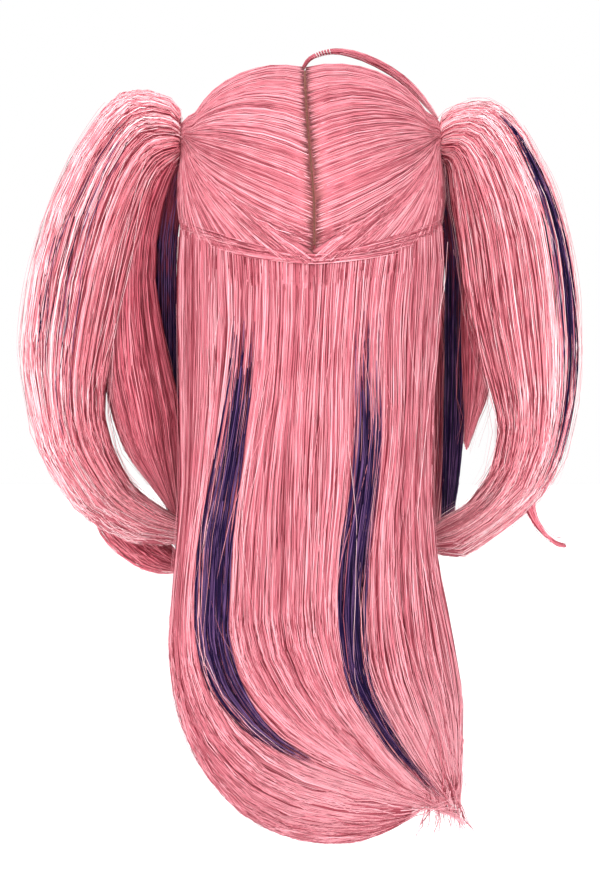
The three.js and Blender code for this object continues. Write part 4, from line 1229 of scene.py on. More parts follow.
def strands(name, grid, outward, material, **sizes):
    """Combs strands over a guide sheet and gives them back as a plain mesh."""
    guide = guide_object(f"{name}_guide", grid, outward)
    tree = strand_tree()
    modifier = guide.modifiers.new("Strands", "NODES")
    modifier.node_group = tree
    hair = bpy.context.scene.wig_hair
    values = {
        "Thickness": hair.strand_thickness,
        "Depth": hair.layer_depth,
        "Relief": hair.wisp_relief,
        "Stray Reach": hair.stray_reach,
        "Material": material,
    }
    values.update({key.replace("_", " ").title(): value for key, value in sizes.items()})
    values["Seed"] = hair.seed + values["Seed"]
    for item in tree.interface.items_tree:
        if item.in_out == "INPUT" and item.name in values:
            modifier[item.identifier] = values.pop(item.name)
    if values:
        raise ValueError(f"the strand tree has no input named {sorted(values)}")
    graph = bpy.context.evaluated_depsgraph_get()
    graph.update()
    mesh = bpy.data.meshes.new_from_object(guide.evaluated_get(graph))
    mesh.name = name
    guide.modifiers.remove(modifier)
    bpy.data.objects.remove(guide)
    if not len(mesh.polygons):
        raise RuntimeError(f"{name} has no strands")
    return link(name, mesh)


# Finishes

def linear(red, green, blue):
    """A screen colour, 0 to 255, as Blender's linear colour."""
    def channel(value):
        share = value / 255
        return share / 12.92 if share <= 0.04045 else ((share + 0.055) / 1.055) ** 2.4

    return (channel(red), channel(green), channel(blue), 1.0)


PART_CLOTH = {"dark": linear(112, 74, 62), "light": linear(166, 122, 104)}
CAP_NET = {"dark": linear(120, 52, 66), "light": linear(196, 112, 126)}
THREAD = {"dark": linear(214, 206, 204), "light": linear(250, 246, 244)}
# Painted shade: the dark red of pink combed hair in shade, over the top of each purple lock
LOCK_ROOT_PAINTED_SHADE = linear(140, 56, 72)
# How far apart on the noise the darkest and the lightest strands are
TONE_STEP = 53.0
# Tones between which dark turns to middle, and middle to light; where the pale ends, partly painted light,
# start; how uneven roots are
DARK_TO_MIDDLE = (0.16, 0.5)
MIDDLE_TO_LIGHT = (0.5, 0.86)
PALE_AND_LIT_ENDS_FROM = 0.7
ROOT_UNEVENNESS = 3.0
# The dense hair's streaks: noise along its length, how few broad ones there are, and their contrast
CORE_ALONG = 5.0
BROAD_SHARE = 0.16
STREAK_RANGE = (0.28, 0.72)


def hair_tones(word):
    """Dark, middle, light and root colours of the pink or the purple fibre, from the settings."""
    hair = bpy.context.scene.wig_hair
    return {key: (*getattr(hair, f"{word}_{key}"), 1.0) for key in ("dark", "middle", "light", "root")}


def mixed(tones, dark_share, middle_share):
    """A colour between the dark and the middle one."""
    pairs = zip(tones["dark"], tones["middle"])
    return tuple(dark * dark_share + middle * middle_share for dark, middle in pairs)


def tint_group():
    """A shader group that gives a strand its colour from its tone and the place along it."""
    known = bpy.data.node_groups.get("Strand tint")
    if known:
        return known
    tree = bpy.data.node_groups.new("Strand tint", "ShaderNodeTree")
    face = tree.interface
    for name in ("Dark", "Middle", "Light", "Root"):
        face.new_socket(name, in_out="INPUT", socket_type="NodeSocketColor")
    for name in ("Root Length", "Unevenness", "Breaks", "Pale Ends And Painted Light"):
        face.new_socket(name, in_out="INPUT", socket_type="NodeSocketFloat")
    face.new_socket("Color", in_out="OUTPUT", socket_type="NodeSocketColor")
    given = tree.nodes.new("NodeGroupInput").outputs
    tone, along = (
        Sum(add_node(tree, "ShaderNodeAttribute", attribute_name=name).outputs["Fac"])
        for name in ("tone", "along")
    )
    # each strand is lighter here and darker there along its length
    spot = {0: tone * TONE_STEP, 1: along * given["Breaks"]}
    vector = add_node(tree, "ShaderNodeCombineXYZ", spot).outputs[0]
    noise = add_node(tree, "ShaderNodeTexNoise", {"Vector": vector, "Scale": 1.0, "Detail": 1.0})
    drift = Sum(noise.outputs["Fac"]) - 0.5
    level = drift * given["Unevenness"] + tone
    low = mix_colour(tree, soft_range(tree, level, *DARK_TO_MIDDLE), given["Dark"], given["Middle"])
    colour = mix_colour(tree, soft_range(tree, level, *MIDDLE_TO_LIGHT), low, given["Light"])
    reach = drift * given["Root Length"] * ROOT_UNEVENNESS + along
    root = soft_range(tree, reach, 0.0, given["Root Length"], 1.0, 0.0)
    colour = mix_colour(tree, root, colour, given["Root"])
    # ends mixed towards the light colour: partly the fibre's own paler ends, partly painted light where the
    # ends curl under into shade
    ends = soft_range(tree, along, PALE_AND_LIT_ENDS_FROM, 1.0) * given["Pale Ends And Painted Light"]
    colour = mix_colour(tree, ends, colour, given["Light"])
    result = tree.nodes.new("NodeGroupOutput")
    tree.links.new(colour, result.inputs[0])
    return tree


def fibre_group():
    """A shader group with fine and broad streaks along a piece's own map."""
    known = bpy.data.node_groups.get("Fibre streaks")
    if known:
        return known
    tree = bpy.data.node_groups.new("Fibre streaks", "ShaderNodeTree")
    face = tree.interface
    for name in ("Across", "Along"):
        face.new_socket(name, in_out="INPUT", socket_type="NodeSocketFloat")
    for name in ("Fine", "Broad"):
        face.new_socket(name, in_out="OUTPUT", socket_type="NodeSocketFloat")
    given = tree.nodes.new("NodeGroupInput").outputs
    spot = add_node(tree, "ShaderNodeUVMap", uv_map="OFBake").outputs[0]
    parts = add_node(tree, "ShaderNodeSeparateXYZ", {0: spot}).outputs
    result = tree.nodes.new("NodeGroupOutput")
    for slot, share in ((0, 1.0), (1, BROAD_SHARE)):
        across = Sum(parts[0]) * (Sum(given["Across"]) * share)
        along = Sum(parts[1]) * given["Along"]
        place = add_node(tree, "ShaderNodeCombineXYZ", {0: across, 1: along, 2: share * 7}).outputs[0]
        noise = add_node(tree, "ShaderNodeTexNoise", {"Vector": place, "Scale": 1.0, "Detail": 2.0})
        streaks = soft_range(tree, noise.outputs["Fac"], *STREAK_RANGE)
        tree.links.new(streaks.socket, result.inputs[slot])
    return tree


def new_material(name, roughness, specular=0.5):
    """An empty material and its shader."""
    made = bpy.data.materials.new(name)
    made.use_nodes = True
    shader = made.node_tree.nodes["Principled BSDF"]
    shader.inputs["Roughness"].default_value = roughness
    shader.inputs["Specular IOR Level"].default_value = specular
    return made, shader


def add_bump(tree, shader, height, strength, distance):
    """Raises a finish where the height is high."""
    inputs = {"Height": height, "Strength": strength, "Distance": distance}
    bump = add_node(tree, "ShaderNodeBump", inputs)
    tree.links.new(bump.outputs[0], shader.inputs["Normal"])


def strand_finish(name, tones, root_length, unevenness=0.8, breaks=14.0, pale_ends_and_painted_light=0.0, specular=0.25):
    """Satin synthetic fibre."""
    known = bpy.data.materials.get(name)
    if known:
        return known
    made, shader = new_material(name, 0.42, specular)
    tree = made.node_tree
    group = add_node(tree, "ShaderNodeGroup", node_tree=tint_group())
    for key, value in tones.items():
        group.inputs[key.title()].default_value = value
    group.inputs["Root Length"].default_value = root_length
    group.inputs["Unevenness"].default_value = unevenness
    group.inputs["Breaks"].default_value = breaks
    group.inputs["Pale Ends And Painted Light"].default_value = pale_ends_and_painted_light
    tree.links.new(group.outputs["Color"], shader.inputs["Base Color"])
    return made


def core_finish(name, tones, across, root_length=0.0):
    """The dense hair seen between the strands, in the dark and middle tones only as painted shade in the
    gaps, with its root colour over some of its length.
    """
    known = bpy.data.materials.get(name)
    if known:
        return known
    made, shader = new_material(name, 0.5, 0.3)
    tree = made.node_tree
    group = add_node(tree, "ShaderNodeGroup", node_tree=fibre_group())
    group.inputs["Across"].default_value = across
    group.inputs["Along"].default_value = CORE_ALONG
    # the dense hair is kept to the dark and middle tones: painted shade in the gaps between the strands
    fine = mix_colour(tree, group.outputs["Fine"], tones["dark"], tones["middle"])
    colour = mix_colour(tree, group.outputs["Broad"], tones["dark"], fine)
    if root_length:
        spot = add_node(tree, "ShaderNodeUVMap", uv_map="OFBake").outputs[0]
        along = add_node(tree, "ShaderNodeSeparateXYZ", {0: spot}).outputs[1]
        colour = mix_colour(tree, soft_range(tree, along, 0.0, root_length, 1.0, 0.0), colour, tones["root"])
    tree.links.new(colour, shader.inputs["Base Color"])
    add_bump(tree, shader, group.outputs["Fine"], 0.6, 0.0006)
    return made


def pink_strands():
    """Pink fibre."""
    return strand_finish("pink fibre", hair_tones("pink"), 0.02, pale_ends_and_painted_light=1.0)


def loose_strands():
    """Single pink hairs, painted lighter as a highlight where they catch the light."""
    tones = hair_tones("pink")
    # all three tones lighter: painted highlight
    tones["dark"] = linear(226, 130, 144)
    tones["middle"] = linear(242, 160, 172)
    tones["light"] = linear(255, 214, 220)
    return strand_finish("loose pink fibre with painted highlight", tones, 0.02)


def pigtail_strands():
    """Pink fibre painted lighter as sheen, as it bends over the pigtails."""
    tones = hair_tones("pink")
    # a lighter middle and light: painted sheen
    tones["middle"] = linear(238, 138, 151)
    tones["light"] = linear(255, 226, 230)
    return strand_finish("pink pigtail fibre with painted sheen", tones, 0.02, pale_ends_and_painted_light=0.12)


def lobe_strands():
    """Pink fibre darkened as painted shade, for the inner lobes in the shade of the pigtails."""
    tones = hair_tones("pink")
    # a darker middle and light: painted shade
    tones["middle"] = linear(204, 96, 112)
    tones["light"] = linear(242, 152, 164)
    return strand_finish("pink inner fibre with painted shade", tones, 0.02, pale_ends_and_painted_light=0.2)


def crown_strands():
    """Pink fibre combed smooth, with dark brown roots: partly the brown at the part, partly painted shade
    beside the part and under the crown's lower edge.
    """
    tones = hair_tones("pink")
    tones["dark"] = mixed(tones, 0.7, 0.3)
    tones["middle"] = linear(221, 128, 141)
    # dark brown roots: the brown at the part, and painted shade at the part and under the lower edge
    tones["root"] = linear(112, 56, 58)
    return strand_finish("pink fibre from the part", tones, 0.036, 0.7, 10.0)


def purple_strands():
    """Purple fibre."""
    return strand_finish("purple fibre", hair_tones("purple"), 0.06, specular=0.08)


def lock_strands():
    """Purple fibre whose roots are painted the dark red of pink combed hair in shade near the tie."""
    tones = hair_tones("purple")
    tones["root"] = LOCK_ROOT_PAINTED_SHADE
    return strand_finish("purple lock fibre", tones, 0.38, specular=0.08)


def pink_core():
    """Dense pink hair."""
    return core_finish("dense pink hair", hair_tones("pink"), 420.0)


def crown_core():
    """Dense pink hair combed smooth."""
    tones = hair_tones("pink")
    tones["dark"] = mixed(tones, 0.2, 0.8)
    tones["root"] = linear(140, 76, 76)
    return core_finish("dense crown hair", tones, 420.0, 0.035)


def lock_core():
    """Dense purple hair whose roots are painted the dark red of pink combed hair in shade near the tie."""
    tones = hair_tones("purple")
    tones["root"] = LOCK_ROOT_PAINTED_SHADE
    return core_finish("dense purple hair", tones, 90.0, 0.36)


def flyaways(name, node, grid, outward, count, seed):
    """A few long loose hairs that cross the others."""
    return comb(
        name, node, "pink_hair", grid, outward, loose_strands(), count=count, points=14, thickness=0.0004,
        wisps=float(count), lift=0.0026, relief=0.0, depth=0.0015, looseness=count * 0.5, bends=1.3,
        waviness=0.05, clumps=3.0, clumping=0.1, root_jitter=0.5, tip_jitter=0.5, tip_bias=1.0,
        stray_share=1.0, stray_reach=0.005, seed=seed,
    )


def woven_finish(name, tones, pitch):
    """A fine open weave for the cap, the part and the thread, on the object's own coordinates."""
    known = bpy.data.materials.get(name)
    if known:
        return known
    made, shader = new_material(name, 0.75, 0.25)
    tree = made.node_tree
    spot = add_node(tree, "ShaderNodeTexCoord").outputs["Object"]
    height = None
    for axis in ((1, 1, 0), (-1, 1, 1), (0, 1, 1)):
        along = add_node(tree, "ShaderNodeVectorMath", {0: spot, 1: axis}, operation="DOT_PRODUCT")
        wave = calc(tree, "SINE", Sum(along.outputs["Value"]) * (2 * math.pi / (pitch * MM)))
        height = wave if height is None else calc(tree, "MAXIMUM", height, wave)
    weave = soft_range(tree, height, -0.4, 0.9)
    colour = mix_colour(tree, weave, tones["dark"], tones["light"])
    tree.links.new(colour, shader.inputs["Base Color"])
    add_bump(tree, shader, weave, 0.5, 0.0004)
    return made


def finish_piece(piece, node):
    """Ties a finished piece to the frame."""
    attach(piece, BODY)
    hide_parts(node)
    return piece


def comb(name, node, slot, grid, outward, material, **sizes):
    """Combs strands over a guide sheet and ties them to the frame."""
    return finish_piece(strands(name, grid, outward, material, **sizes), node)


# Settings

class WigHairSettings(bpy.types.PropertyGroup):
    """Sizes and colours of the hair that a user would change."""

    strand_thickness: bpy.props.FloatProperty(
        name="Strand thickness",
        description="Thickness of one bundle of fibres",
        default=0.0005,
        unit="LENGTH",
    )
    layer_depth: bpy.props.FloatProperty(
        name="Layer depth",
        description="How deep the loose strands lie in the hair",
        default=0.0011,
        unit="LENGTH",
    )
    wisp_relief: bpy.props.FloatProperty(
        name="Wisp relief",
        description="How far wisps stand above each other",
        default=0.0007,
        unit="LENGTH",
    )
    stray_reach: bpy.props.FloatProperty(
        name="Stray reach",
        description="How far stray strands stand off",
        default=0.006,
        unit="LENGTH",
    )
    seed: bpy.props.IntProperty(name="Seed", description="Start of the strands' chances", default=7)
    # The dark pink and dark purple are partly darker fibre that falls at random, partly painted shade in the
    # hollows between the strands
    pink_dark: bpy.props.FloatVectorProperty(
        name="Pink, dark",
        description="Pink fibre in the hollows",
        subtype="COLOR",
        default=linear(128, 34, 50)[:3],
    )
    pink_middle: bpy.props.FloatVectorProperty(
        name="Pink",
        description="Most of the pink fibre",
        subtype="COLOR",
        default=linear(207, 112, 126)[:3],
    )
    pink_light: bpy.props.FloatVectorProperty(
        name="Pink, light",
        description="The palest pink strands",
        subtype="COLOR",
        default=linear(247, 178, 188)[:3],
    )
    pink_root: bpy.props.FloatVectorProperty(
        name="Pink, root",
        description="Pink fibre at its root",
        subtype="COLOR",
        default=linear(190, 92, 106)[:3],
    )
    purple_dark: bpy.props.FloatVectorProperty(
        name="Purple, dark",
        description="Purple in the hollows",
        subtype="COLOR",
        default=linear(14, 2, 30)[:3],
    )
    purple_middle: bpy.props.FloatVectorProperty(
        name="Purple",
        description="Most of the purple fibre",
        subtype="COLOR",
        default=linear(30, 11, 58)[:3],
    )
    purple_light: bpy.props.FloatVectorProperty(
        name="Purple, light",
        description="The palest purple",
        subtype="COLOR",
        default=linear(112, 78, 124)[:3],
    )
    purple_root: bpy.props.FloatVectorProperty(
        name="Purple, root",
        description="Purple fibre at its root",
        subtype="COLOR",
        default=linear(92, 56, 84)[:3],
    )


class WigStageSettings(bpy.types.PropertyGroup):
    """Light and camera that a user would change."""

    camera_distance: bpy.props.FloatProperty(
        name="Camera distance",
        description="From the middle of the head",
        default=CAMERA_DISTANCE,
        unit="LENGTH",
    )
    key_power: bpy.props.FloatProperty(
        name="Key power",
        description="Power of the main soft light",
        default=25.0,
        unit="POWER",
    )
    backdrop_glow: bpy.props.FloatProperty(
        name="Backdrop glow",
        description="Light that the white paper gives off itself",
        default=0.35,
    )


# Operators

class WIG_OT_stage(bpy.types.Operator):
    """Sets up the floor, the soft lights and the camera"""

    bl_idname = "wig.stage"
    bl_label = "Stage"

    def execute(self, context):
        settings = context.scene.wig_stage
        corners = [(x * FLOOR_HALF, y * FLOOR_HALF) for x, y in ((-1, -1), (1, -1), (1, 1), (-1, 1))]
        mesh = bpy.data.meshes.new("floor")
        mesh.from_pydata([(x, y, FLOOR_LEVEL) for x, y in corners], [], [(0, 1, 2, 3)])
        floor = link("floor", mesh)
        paper, shader = new_material("white paper", 0.9, 0.1)
        shader.inputs["Base Color"].default_value = (0.9, 0.9, 0.9, 1)
        shader.inputs["Emission Color"].default_value = (1, 1, 1, 1)
        shader.inputs["Emission Strength"].default_value = settings.backdrop_glow
        mesh.materials.append(paper)
        world = bpy.data.worlds.new("white studio")
        world.use_nodes = True
        background = world.node_tree.nodes["Background"]
        background.inputs["Color"].default_value = (1, 1, 1, 1)
        background.inputs["Strength"].default_value = 1.0
        context.scene.world = world
        context.scene.view_settings.view_transform = "Standard"
        for name, place, spread, share in LIGHTS:
            lamp = bpy.data.lights.new(name, "AREA")
            lamp.size = spread
            lamp.energy = settings.key_power * share
            made = bpy.data.objects.new(name, lamp)
            context.scene.collection.objects.link(made)
            made.location = place
            aim = Vector(LIGHT_AIM) - Vector(place)
            made.rotation_euler = aim.to_track_quat("-Z", "Y").to_euler()
        lens = bpy.data.cameras.new("camera")
        lens.sensor_width = SENSOR
        lens.lens = SENSOR * settings.camera_distance / FRAME_HEIGHT
        camera = bpy.data.objects.new("camera", lens)
        camera.location = (CAMERA_SIDE, settings.camera_distance, CAMERA_HEIGHT)
        camera.rotation_euler = (math.pi / 2, 0, math.pi)
        context.scene.collection.objects.link(camera)
        context.scene.camera = camera
        return {"FINISHED"}


class WIG_OT_cap(bpy.types.Operator):
    """Makes the net cap with its weft rows and rim band, and the cloth strip of the part"""

    bl_idname = "wig.cap"
    bl_label = "Cap and part"

    def execute(self, context):
        net = woven_finish("stretch net", CAP_NET, 1.6)
        degrees = np.linspace(-180, 180, 73)[None, :]
        flow = np.linspace(0.004, 1, 24)[:, None]
        rim = edge_level(CAP_RIM, degrees)
        grids = []
        for dome in (CAP_OUTSIDE, CAP_INSIDE):
            grids.append(dome_point(dome, direction(np.radians(degrees), flow * polar_at_level(rim, dome))))
        finish_piece(cap_object("cap_net", grids[0], grids[1], net), "cap")
        for row in range(WEFT_ROWS):
            line = cap_line((row + 2) / (WEFT_ROWS + 2), WEFT_LIFT)
            seam = cord_object(f"cap_weft_{row}", line, WEFT_RADIUS, pink_core())
            finish_piece(seam, "cap")
        band = woven_finish("elastic band", CAP_NET, 0.8)
        line = cap_line(RIM_BAND_PLACE, RIM_BAND_LIFT)
        edge = cord_object("cap_rim_band", line, RIM_BAND_RADIUS, band, 8)
        finish_piece(edge, "cap")
        finish_piece(part_strip_object(), "part_strip")
        return {"FINISHED"}


def cap_line(share, lift):
    """A closed line round the inside of the cap at a share of the way from its top to its rim."""
    degrees = np.linspace(-180, 180, 91)
    inside = {side: size + lift for side, size in CAP_INSIDE.items()}
    rim = edge_level(CAP_RIM, degrees)
    return dome_point(inside, direction(np.radians(degrees), share * polar_at_level(rim, CAP_INSIDE)))


def cap_object(name, outside, inside, material):
    """The cap's wall: two domes joined at the rim, each shut at its top."""
    rows = outside.shape[0]
    grid = np.concatenate([outside, inside[::-1]])
    return tube_object(name, grid, lambda points: cap_ways(points, rows), material)


def cap_ways(points, rows):
    """Outward ways for the cap's wall: out of the head outside it, into the head inside it."""
    ways = away_from_head(points).copy()
    ways[rows - 1:] *= -1
    return ways


def part_strip_object():
    """The strip of scalp cloth seen along the part."""
    back, front = part_ends()
    turn = np.linspace(back, front, 90)
    outside, inside = (
        np.stack(
            [
                dome_point(
                    {side: size + lift for side, size in SEAT.items()},
                    part_direction(turn, np.full(len(turn), offset)),
                )
                for offset in np.linspace(-PART_STRIP_HALF_WIDTH, PART_STRIP_HALF_WIDTH, 5)
            ],
            axis=1,
        )
        for lift in (PART_STRIP_THICKNESS, 0.1)
    )
    cloth = woven_finish("scalp cloth", PART_CLOTH, 0.7)
    return shell_object("part_strip_cloth", outside, inside, away_from_head, cloth)


class WIG_OT_ties(bpy.types.Operator):
    """Makes the hidden elastic of each pigtail"""

    bl_idname = "wig.ties"
    bl_label = "Ties"

    def execute(self, context):
        band = woven_finish("elastic band", CAP_NET, 0.8)
        for side, word in SIDES:
            base = gather(side)
            angle = np.linspace(0, 2 * math.pi, 61)
            ring = np.cos(angle)[:, None] * base["back"] + np.sin(angle)[:, None] * base["up"]
            line = base["point"] + base["out"] * TIE_HEIGHT + ring * TIE_RING
            made = cord_object(f"tie_{word}_elastic", line, TIE_CORD, band, 12)
            finish_piece(made, f"tie_{word}")
        return {"FINISHED"}


class WIG_OT_crown(bpy.types.Operator):
    """Combs the crown from the part to both pigtails"""

    bl_idname = "wig.crown"
    bl_label = "Crown"

    def execute(self, context):
        for side, word in SIDES:
            node = f"crown_{word}"
            lining = crown_lining(side, CROWN_CORE_DROP)
            outside = crown_sheet(side, CROWN_CORE_DROP)
            sunk = outside * CROWN_CORE_OUTSIDE + lining * CROWN_CORE_INSIDE
            dense = shell_object(f"{node}_core", sunk, lining, away_from_head, crown_core())
            finish_piece(dense, node)
            sheet = crown_sheet(side, CROWN_DROP)
            last = int(np.argmax(crown_shares(sheet.shape[1]) >= PART_SHARE))
            for name, run, count, wisps, jitter, seed in (
                ("fan", sheet[:, : last + 1], 960, 280.0, 0.009, 10),
                ("lip", sheet[:, last:], 600, 150.0, 0.05, 14),
            ):
                comb(
                    f"{node}_{name}", node, "pink_hair", run, away_from_head, crown_strands(), count=count,
                    points=11, wisps=wisps, relief=0.0006, depth=0.0008, looseness=2.5, waviness=0.004,
                    clumps=40.0, clumping=0.05, root_jitter=jitter, tip_jitter=0.0, stray_share=0.012,
                    stray_reach=0.003, seed=seed + side,
                )
            comb(
                f"{node}_roll", node, "pink_hair", lip_sheet(side), away_from_head, pink_strands(), count=90,
                points=12, wisps=16.0, lift=0.0004, relief=0.0006, depth=0.0011, looseness=2.0, waviness=0.08,
                clumps=7.0, clumping=0.1, root_jitter=0.3, tip_jitter=0.6, tip_bias=1.0, stray_share=0.04,
                stray_reach=0.002, seed=24 + side,
            )
            # where the part meets the lower edge, a few hairs cross
            corner = sheet[:9, last - 4: last + 7]
            comb(
                f"{node}_meeting", node, "pink_hair", corner, away_from_head, crown_strands(), count=110,
                points=7, wisps=30.0, lift=0.0011, relief=0.0006, depth=0.0012, looseness=3.0, waviness=0.1,
                clumps=9.0, clumping=0.5, root_jitter=0.25, tip_jitter=0.6, tip_bias=1.0, stray_share=0.05,
                stray_reach=0.002, seed=18 + side,
            )
        return {"FINISHED"}


class WIG_OT_pigtails(bpy.types.Operator):
    """Hangs both pigtails with their inner lobes and purple streaks"""

    bl_idname = "wig.pigtails"
    bl_label = "Pigtails"

    def execute(self, context):
        plan = (
            (1, "left", PIGTAIL_LEFT, (PIGTAIL_LEFT_INNER, PIGTAIL_LEFT_UNDER)),
            (-1, "right", PIGTAIL_RIGHT, (PIGTAIL_RIGHT_INNER, PIGTAIL_RIGHT_STRAY)),
        )
        for side, word, rows, lobes in plan:
            node = f"pigtail_{word}"
            sizes = {"count": 1000, "points": 17, "wisps": 130.0, "clumps": 30.0, "seed": 30 + side}
            self.bundle(f"{node}_bunch", node, rows, BUNDLE_FLUTES, pigtail_strands(), sizes)
            for number, lobe in enumerate(lobes):
                count = 420 if number == 0 else 160
                sizes = {"count": count, "points": 14, "wisps": count / 8, "clumps": 14.0}
                sizes["seed"] = 40 + 3 * number + side
                self.bundle(f"{node}_lobe_{number}", node, lobe, LOBE_FLUTES, lobe_strands(), sizes)
            whole = bundle_sheet(rows, BUNDLE_FLUTES)
            outward = away_from_rings(whole)
            flyaways(f"{node}_flyaways", node, whole, outward, 36, 50 + side)
            streak = PIGTAIL_STREAKS[word]
            streak_node = f"pigtail_streak_{word}"
            strip = bundle_streak_sheet(rows, streak)
            comb(
                f"{streak_node}_strands", streak_node, "purple_hair", strip, outward, purple_strands(),
                count=streak["count"], points=16, wisps=streak["count"] / 5, lift=0.0007, depth=0.0014,
                waviness=0.2, clumps=6.0, clumping=0.5, root_jitter=0.4, tip_jitter=0.6, tip_bias=0.8,
                stray_share=0.03, seed=60 + side,
            )
        return {"FINISHED"}

    def bundle(self, name, node, rows, flutes, finish, sizes):
        """A dense bundle and the strands over it."""
        dense = bundle_sheet(rows, flutes, PIGTAIL_SUNK)
        core = tube_object(f"{name}_core", dense, away_from_rings(dense), pink_core())
        finish_piece(core, node)
        sheet = bundle_sheet(rows, flutes)
        # the strands carry painted side light: lighter on the bundle's outer side, darker on its inner side
        comb(
            f"{name}_strands", node, "pink_hair", sheet, away_from_rings(sheet), finish, lift=0.0002,
            looseness=2.2, waviness=0.016, clumping=0.35, root_jitter=0.0, tip_jitter=0.14, stray_share=0.03,
            tone_swing=0.16, **sizes,
        )


class WIG_OT_back_fall(bpy.types.Operator):
    """Combs the long hair down the back, with its purple streaks"""

    bl_idname = "wig.back_fall"
    bl_label = "Back fall"

    def execute(self, context):
        node = "back_fall"
        ends = fall_core_ends()
        outer = fall_sheet(*FALL_CORE_OUTSIDE, ends=ends)
        inner = fall_sheet(*FALL_CORE_INSIDE, ends=ends)
        dense = shell_object("back_fall_core", outer, inner, backward, pink_core())
        finish_piece(dense, node)
        comb(
            "back_fall_outside", node, "pink_hair", fall_sheet(gap=1.8), backward, pink_strands(), count=1580,
            points=18, wisps=230.0, lift=0.0002, looseness=2.4, waviness=0.024, clumps=46.0, clumping=0.25,
            root_jitter=0.02, tip_jitter=0.08, stray_share=0.02, seed=70,
        )
        inside = fall_sheet(fall_wrap())
        comb(
            "back_fall_inside", node, "pink_hair", inside, forward, pink_strands(), count=420,
            points=12, wisps=70.0, lift=0.0002, looseness=1.6, waviness=0.012, clumps=30.0, clumping=0.25,
            root_jitter=0.02, tip_jitter=0.06, stray_share=0.02, seed=71,
        )
        for side, word in SIDES:
            outward = one_way(float(side), 0.0)
            comb(
                f"back_fall_edge_{word}", node, "pink_hair", fall_edge_sheet(side), outward, pink_strands(),
                count=56, points=14, wisps=12.0, lift=0.0006, looseness=1.6, waviness=0.05, clumps=5.0,
                clumping=0.1, root_jitter=0.05, tip_jitter=0.1, stray_share=0.02, stray_reach=0.003,
                seed=74 + side,
            )
        flyaways("back_fall_flyaways", node, fall_sheet(), backward, 44, 72)
        comb(
            "back_fall_loose_ends", node, "pink_hair", fall_ends_sheet(), backward, pink_strands(), count=300,
            points=10, wisps=50.0, thickness=0.00052, lift=0.0006, depth=0.003, looseness=3.0, waviness=0.08,
            clumps=12.0, clumping=0.3, root_jitter=0.3, tip_jitter=0.45, tip_bias=1.0, stray_share=0.3,
            stray_reach=0.005, seed=73,
        )
        comb(
            "back_fall_frayed_ends", node, "pink_hair", frayed_sheet(), backward, pink_strands(), count=60,
            points=9, wisps=14.0, thickness=0.0006, lift=0.0006, depth=0.002, looseness=3.0, waviness=0.2,
            clumps=9.0, clumping=0.5, root_jitter=0.3, tip_jitter=0.45, tip_bias=1.0, stray_share=0.2,
            stray_reach=0.004, seed=77,
        )
        for side, word in SIDES:
            node = f"back_streak_{word}"
            sheet = streak_sheet(BACK_STREAKS[word])
            comb(
                f"{node}_strands", node, "purple_hair", sheet, backward, purple_strands(), count=210,
                points=17, wisps=26.0, lift=0.0011, depth=0.001, waviness=0.16, clumps=8.0, clumping=0.1,
                root_jitter=0.4, tip_jitter=0.6, tip_bias=1.0, stray_share=0.04, seed=80 + side,
            )
        return {"FINISHED"}


class WIG_OT_side_locks(bpy.types.Operator):
    """Hangs the pink and purple locks in front of the ears"""

    bl_idname = "wig.side_locks"
    bl_label = "Side locks"

    def execute(self, context):
        for side, word in SIDES:
            for name, rows, turn, finish, dense, slot in (
                ("side_lock", SIDE_LOCK, SIDE_LOCK_TURN, pink_strands, pink_core, "pink_hair"),
                ("purple_lock", PURPLE_LOCK, PURPLE_LOCK_TURN, lock_strands, lock_core, "purple_hair"),
            ):
                node = f"{name}_{word}"
                sunk = lock_sheet(rows, turn, side, LOCK_SUNK)
                core = tube_object(f"{node}_core", sunk, away_from_rings(sunk), dense())
                finish_piece(core, node)
                sheet = lock_sheet(rows, turn, side)
                comb(
                    f"{node}_strands", node, slot, sheet, away_from_rings(sheet), finish(), count=190,
                    points=12, wisps=26.0, waviness=0.03, clumps=10.0, clumping=0.4, root_jitter=0.02,
                    tip_jitter=0.3, stray_share=0.03, seed=90 + side,
                )
        return {"FINISHED"}


class WIG_OT_fringe(bpy.types.Operator):
    """Combs the fringe over the forehead"""

    bl_idname = "wig.fringe"
    bl_label = "Fringe"

    def execute(self, context):
        outer = fringe_sheet(FRINGE_CORE_OUTSIDE, end=FRINGE_CORE_END)
        inner = fringe_sheet(FRINGE_CORE_INSIDE, end=FRINGE_CORE_END)
        dense = shell_object("fringe_core", outer, inner, away_from_head, pink_core())
        finish_piece(dense, "fringe")
        sheet = fringe_sheet()
        comb(
            "fringe_strands", "fringe", "pink_hair", sheet, away_from_head, pink_strands(), count=700,
            points=9, wisps=90.0, lift=0.0006, waviness=0.012, clumps=float(FRINGE_LOCKS), clumping=0.65,
            root_jitter=0.02, tip_jitter=0.4, tip_bias=1.2, stray_share=0.03, stray_reach=0.004, seed=100,
        )
        return {"FINISHED"}


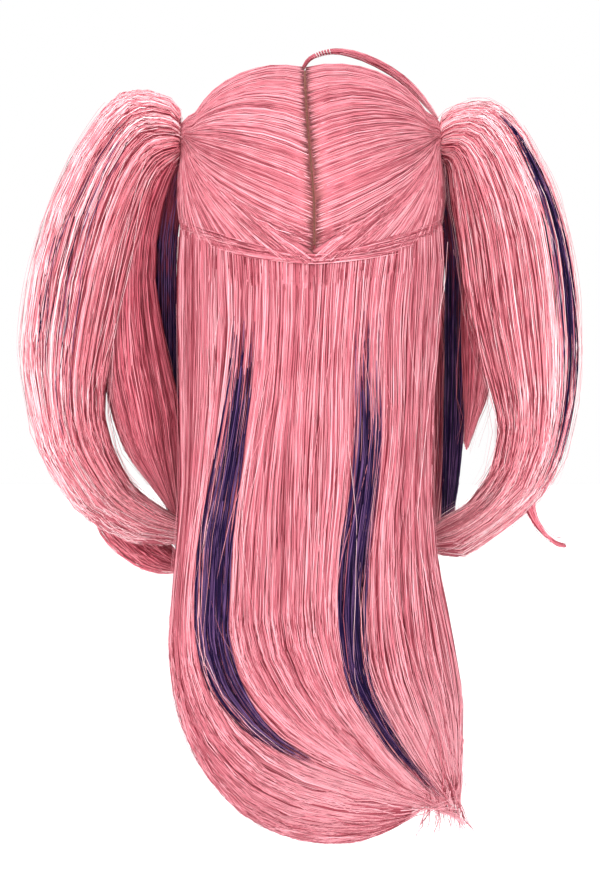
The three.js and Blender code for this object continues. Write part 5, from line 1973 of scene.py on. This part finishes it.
class WIG_OT_antenna(bpy.types.Operator):
    """Bends the thin antenna lock over the crown, with a thread wrapped round its foot"""

    bl_idname = "wig.antenna"
    bl_label = "Antenna lock"

    def execute(self, context):
        node = "antenna_lock"
        sunk = arch_sheet(ANTENNA_LOCK, ANTENNA_SUNK)
        core = tube_object(f"{node}_core", sunk, away_from_rings(sunk), pink_core())
        finish_piece(core, node)
        sheet = arch_sheet(ANTENNA_LOCK)
        comb(
            f"{node}_strands", node, "pink_hair", sheet, away_from_rings(sheet), pink_strands(), count=70,
            points=18, wisps=12.0, depth=0.0003, relief=0.0003, waviness=0.05, clumps=6.0, clumping=0.1,
            root_jitter=0.0, tip_jitter=0.1, stray_share=0.05, stray_reach=0.002, seed=110,
        )
        white = woven_finish("white thread", THREAD, 0.4)
        thread = cord_object(f"{node}_thread", self.thread_line(), THREAD_RADIUS, white)
        finish_piece(thread, node)
        return {"FINISHED"}

    def thread_line(self):
        """A thread wound round the lock near its foot."""
        share = np.linspace(0, 1, THREAD_TURNS * THREAD_TURN_POINTS)
        row = smooth_rows(ANTENNA_LOCK, THREAD_FROM + (THREAD_TO - THREAD_FROM) * share)
        along = unit(np.gradient(row[:, :3], axis=0))
        rise = unit(np.cross(np.array([0, 1.0, 0]), along))
        across = unit(np.cross(along, rise))
        turn = (2 * math.pi * THREAD_TURNS * share)[:, None]
        reach = row[:, 3:5] + THREAD_RADIUS * 1.6
        return row[:, :3] + rise * reach[:, :1] * np.cos(turn) + across * reach[:, 1:] * np.sin(turn)


class WIG_PT_panel(bpy.types.Panel):
    """Lists the wig's pieces"""

    bl_label = "Wig"
    bl_idname = "WIG_PT_panel"
    bl_space_type = "VIEW_3D"
    bl_region_type = "UI"
    bl_category = "Wig"

    def draw(self, context):
        layout = self.layout
        for group in (context.scene.wig_hair, context.scene.wig_stage):
            for name in group.bl_rna.properties.keys():
                if name not in {"rna_type", "name"}:
                    layout.prop(group, name)
        for operator in OPERATORS:
            layout.operator(operator.bl_idname)


OPERATORS = (
    WIG_OT_stage,
    WIG_OT_cap,
    WIG_OT_ties,
    WIG_OT_crown,
    WIG_OT_pigtails,
    WIG_OT_back_fall,
    WIG_OT_side_locks,
    WIG_OT_fringe,
    WIG_OT_antenna,
)
CLASSES = (WigHairSettings, WigStageSettings, *OPERATORS, WIG_PT_panel)


def register():
    """Adds the settings, operators and panel."""
    for made in CLASSES:
        bpy.utils.register_class(made)
    bpy.types.Scene.wig_hair = bpy.props.PointerProperty(type=WigHairSettings)
    bpy.types.Scene.wig_stage = bpy.props.PointerProperty(type=WigStageSettings)


def unregister():
    """Takes them away again."""
    del bpy.types.Scene.wig_hair
    del bpy.types.Scene.wig_stage
    for made in reversed(CLASSES):
        bpy.utils.unregister_class(made)


def main():
    """Makes every piece in order."""
    register()
    bpy.ops.wig.stage()
    bpy.ops.wig.cap()
    bpy.ops.wig.ties()
    bpy.ops.wig.crown()
    bpy.ops.wig.pigtails()
    bpy.ops.wig.back_fall()
    bpy.ops.wig.side_locks()
    bpy.ops.wig.fringe()
    bpy.ops.wig.antenna()


if __name__ == "__main__":
    main()
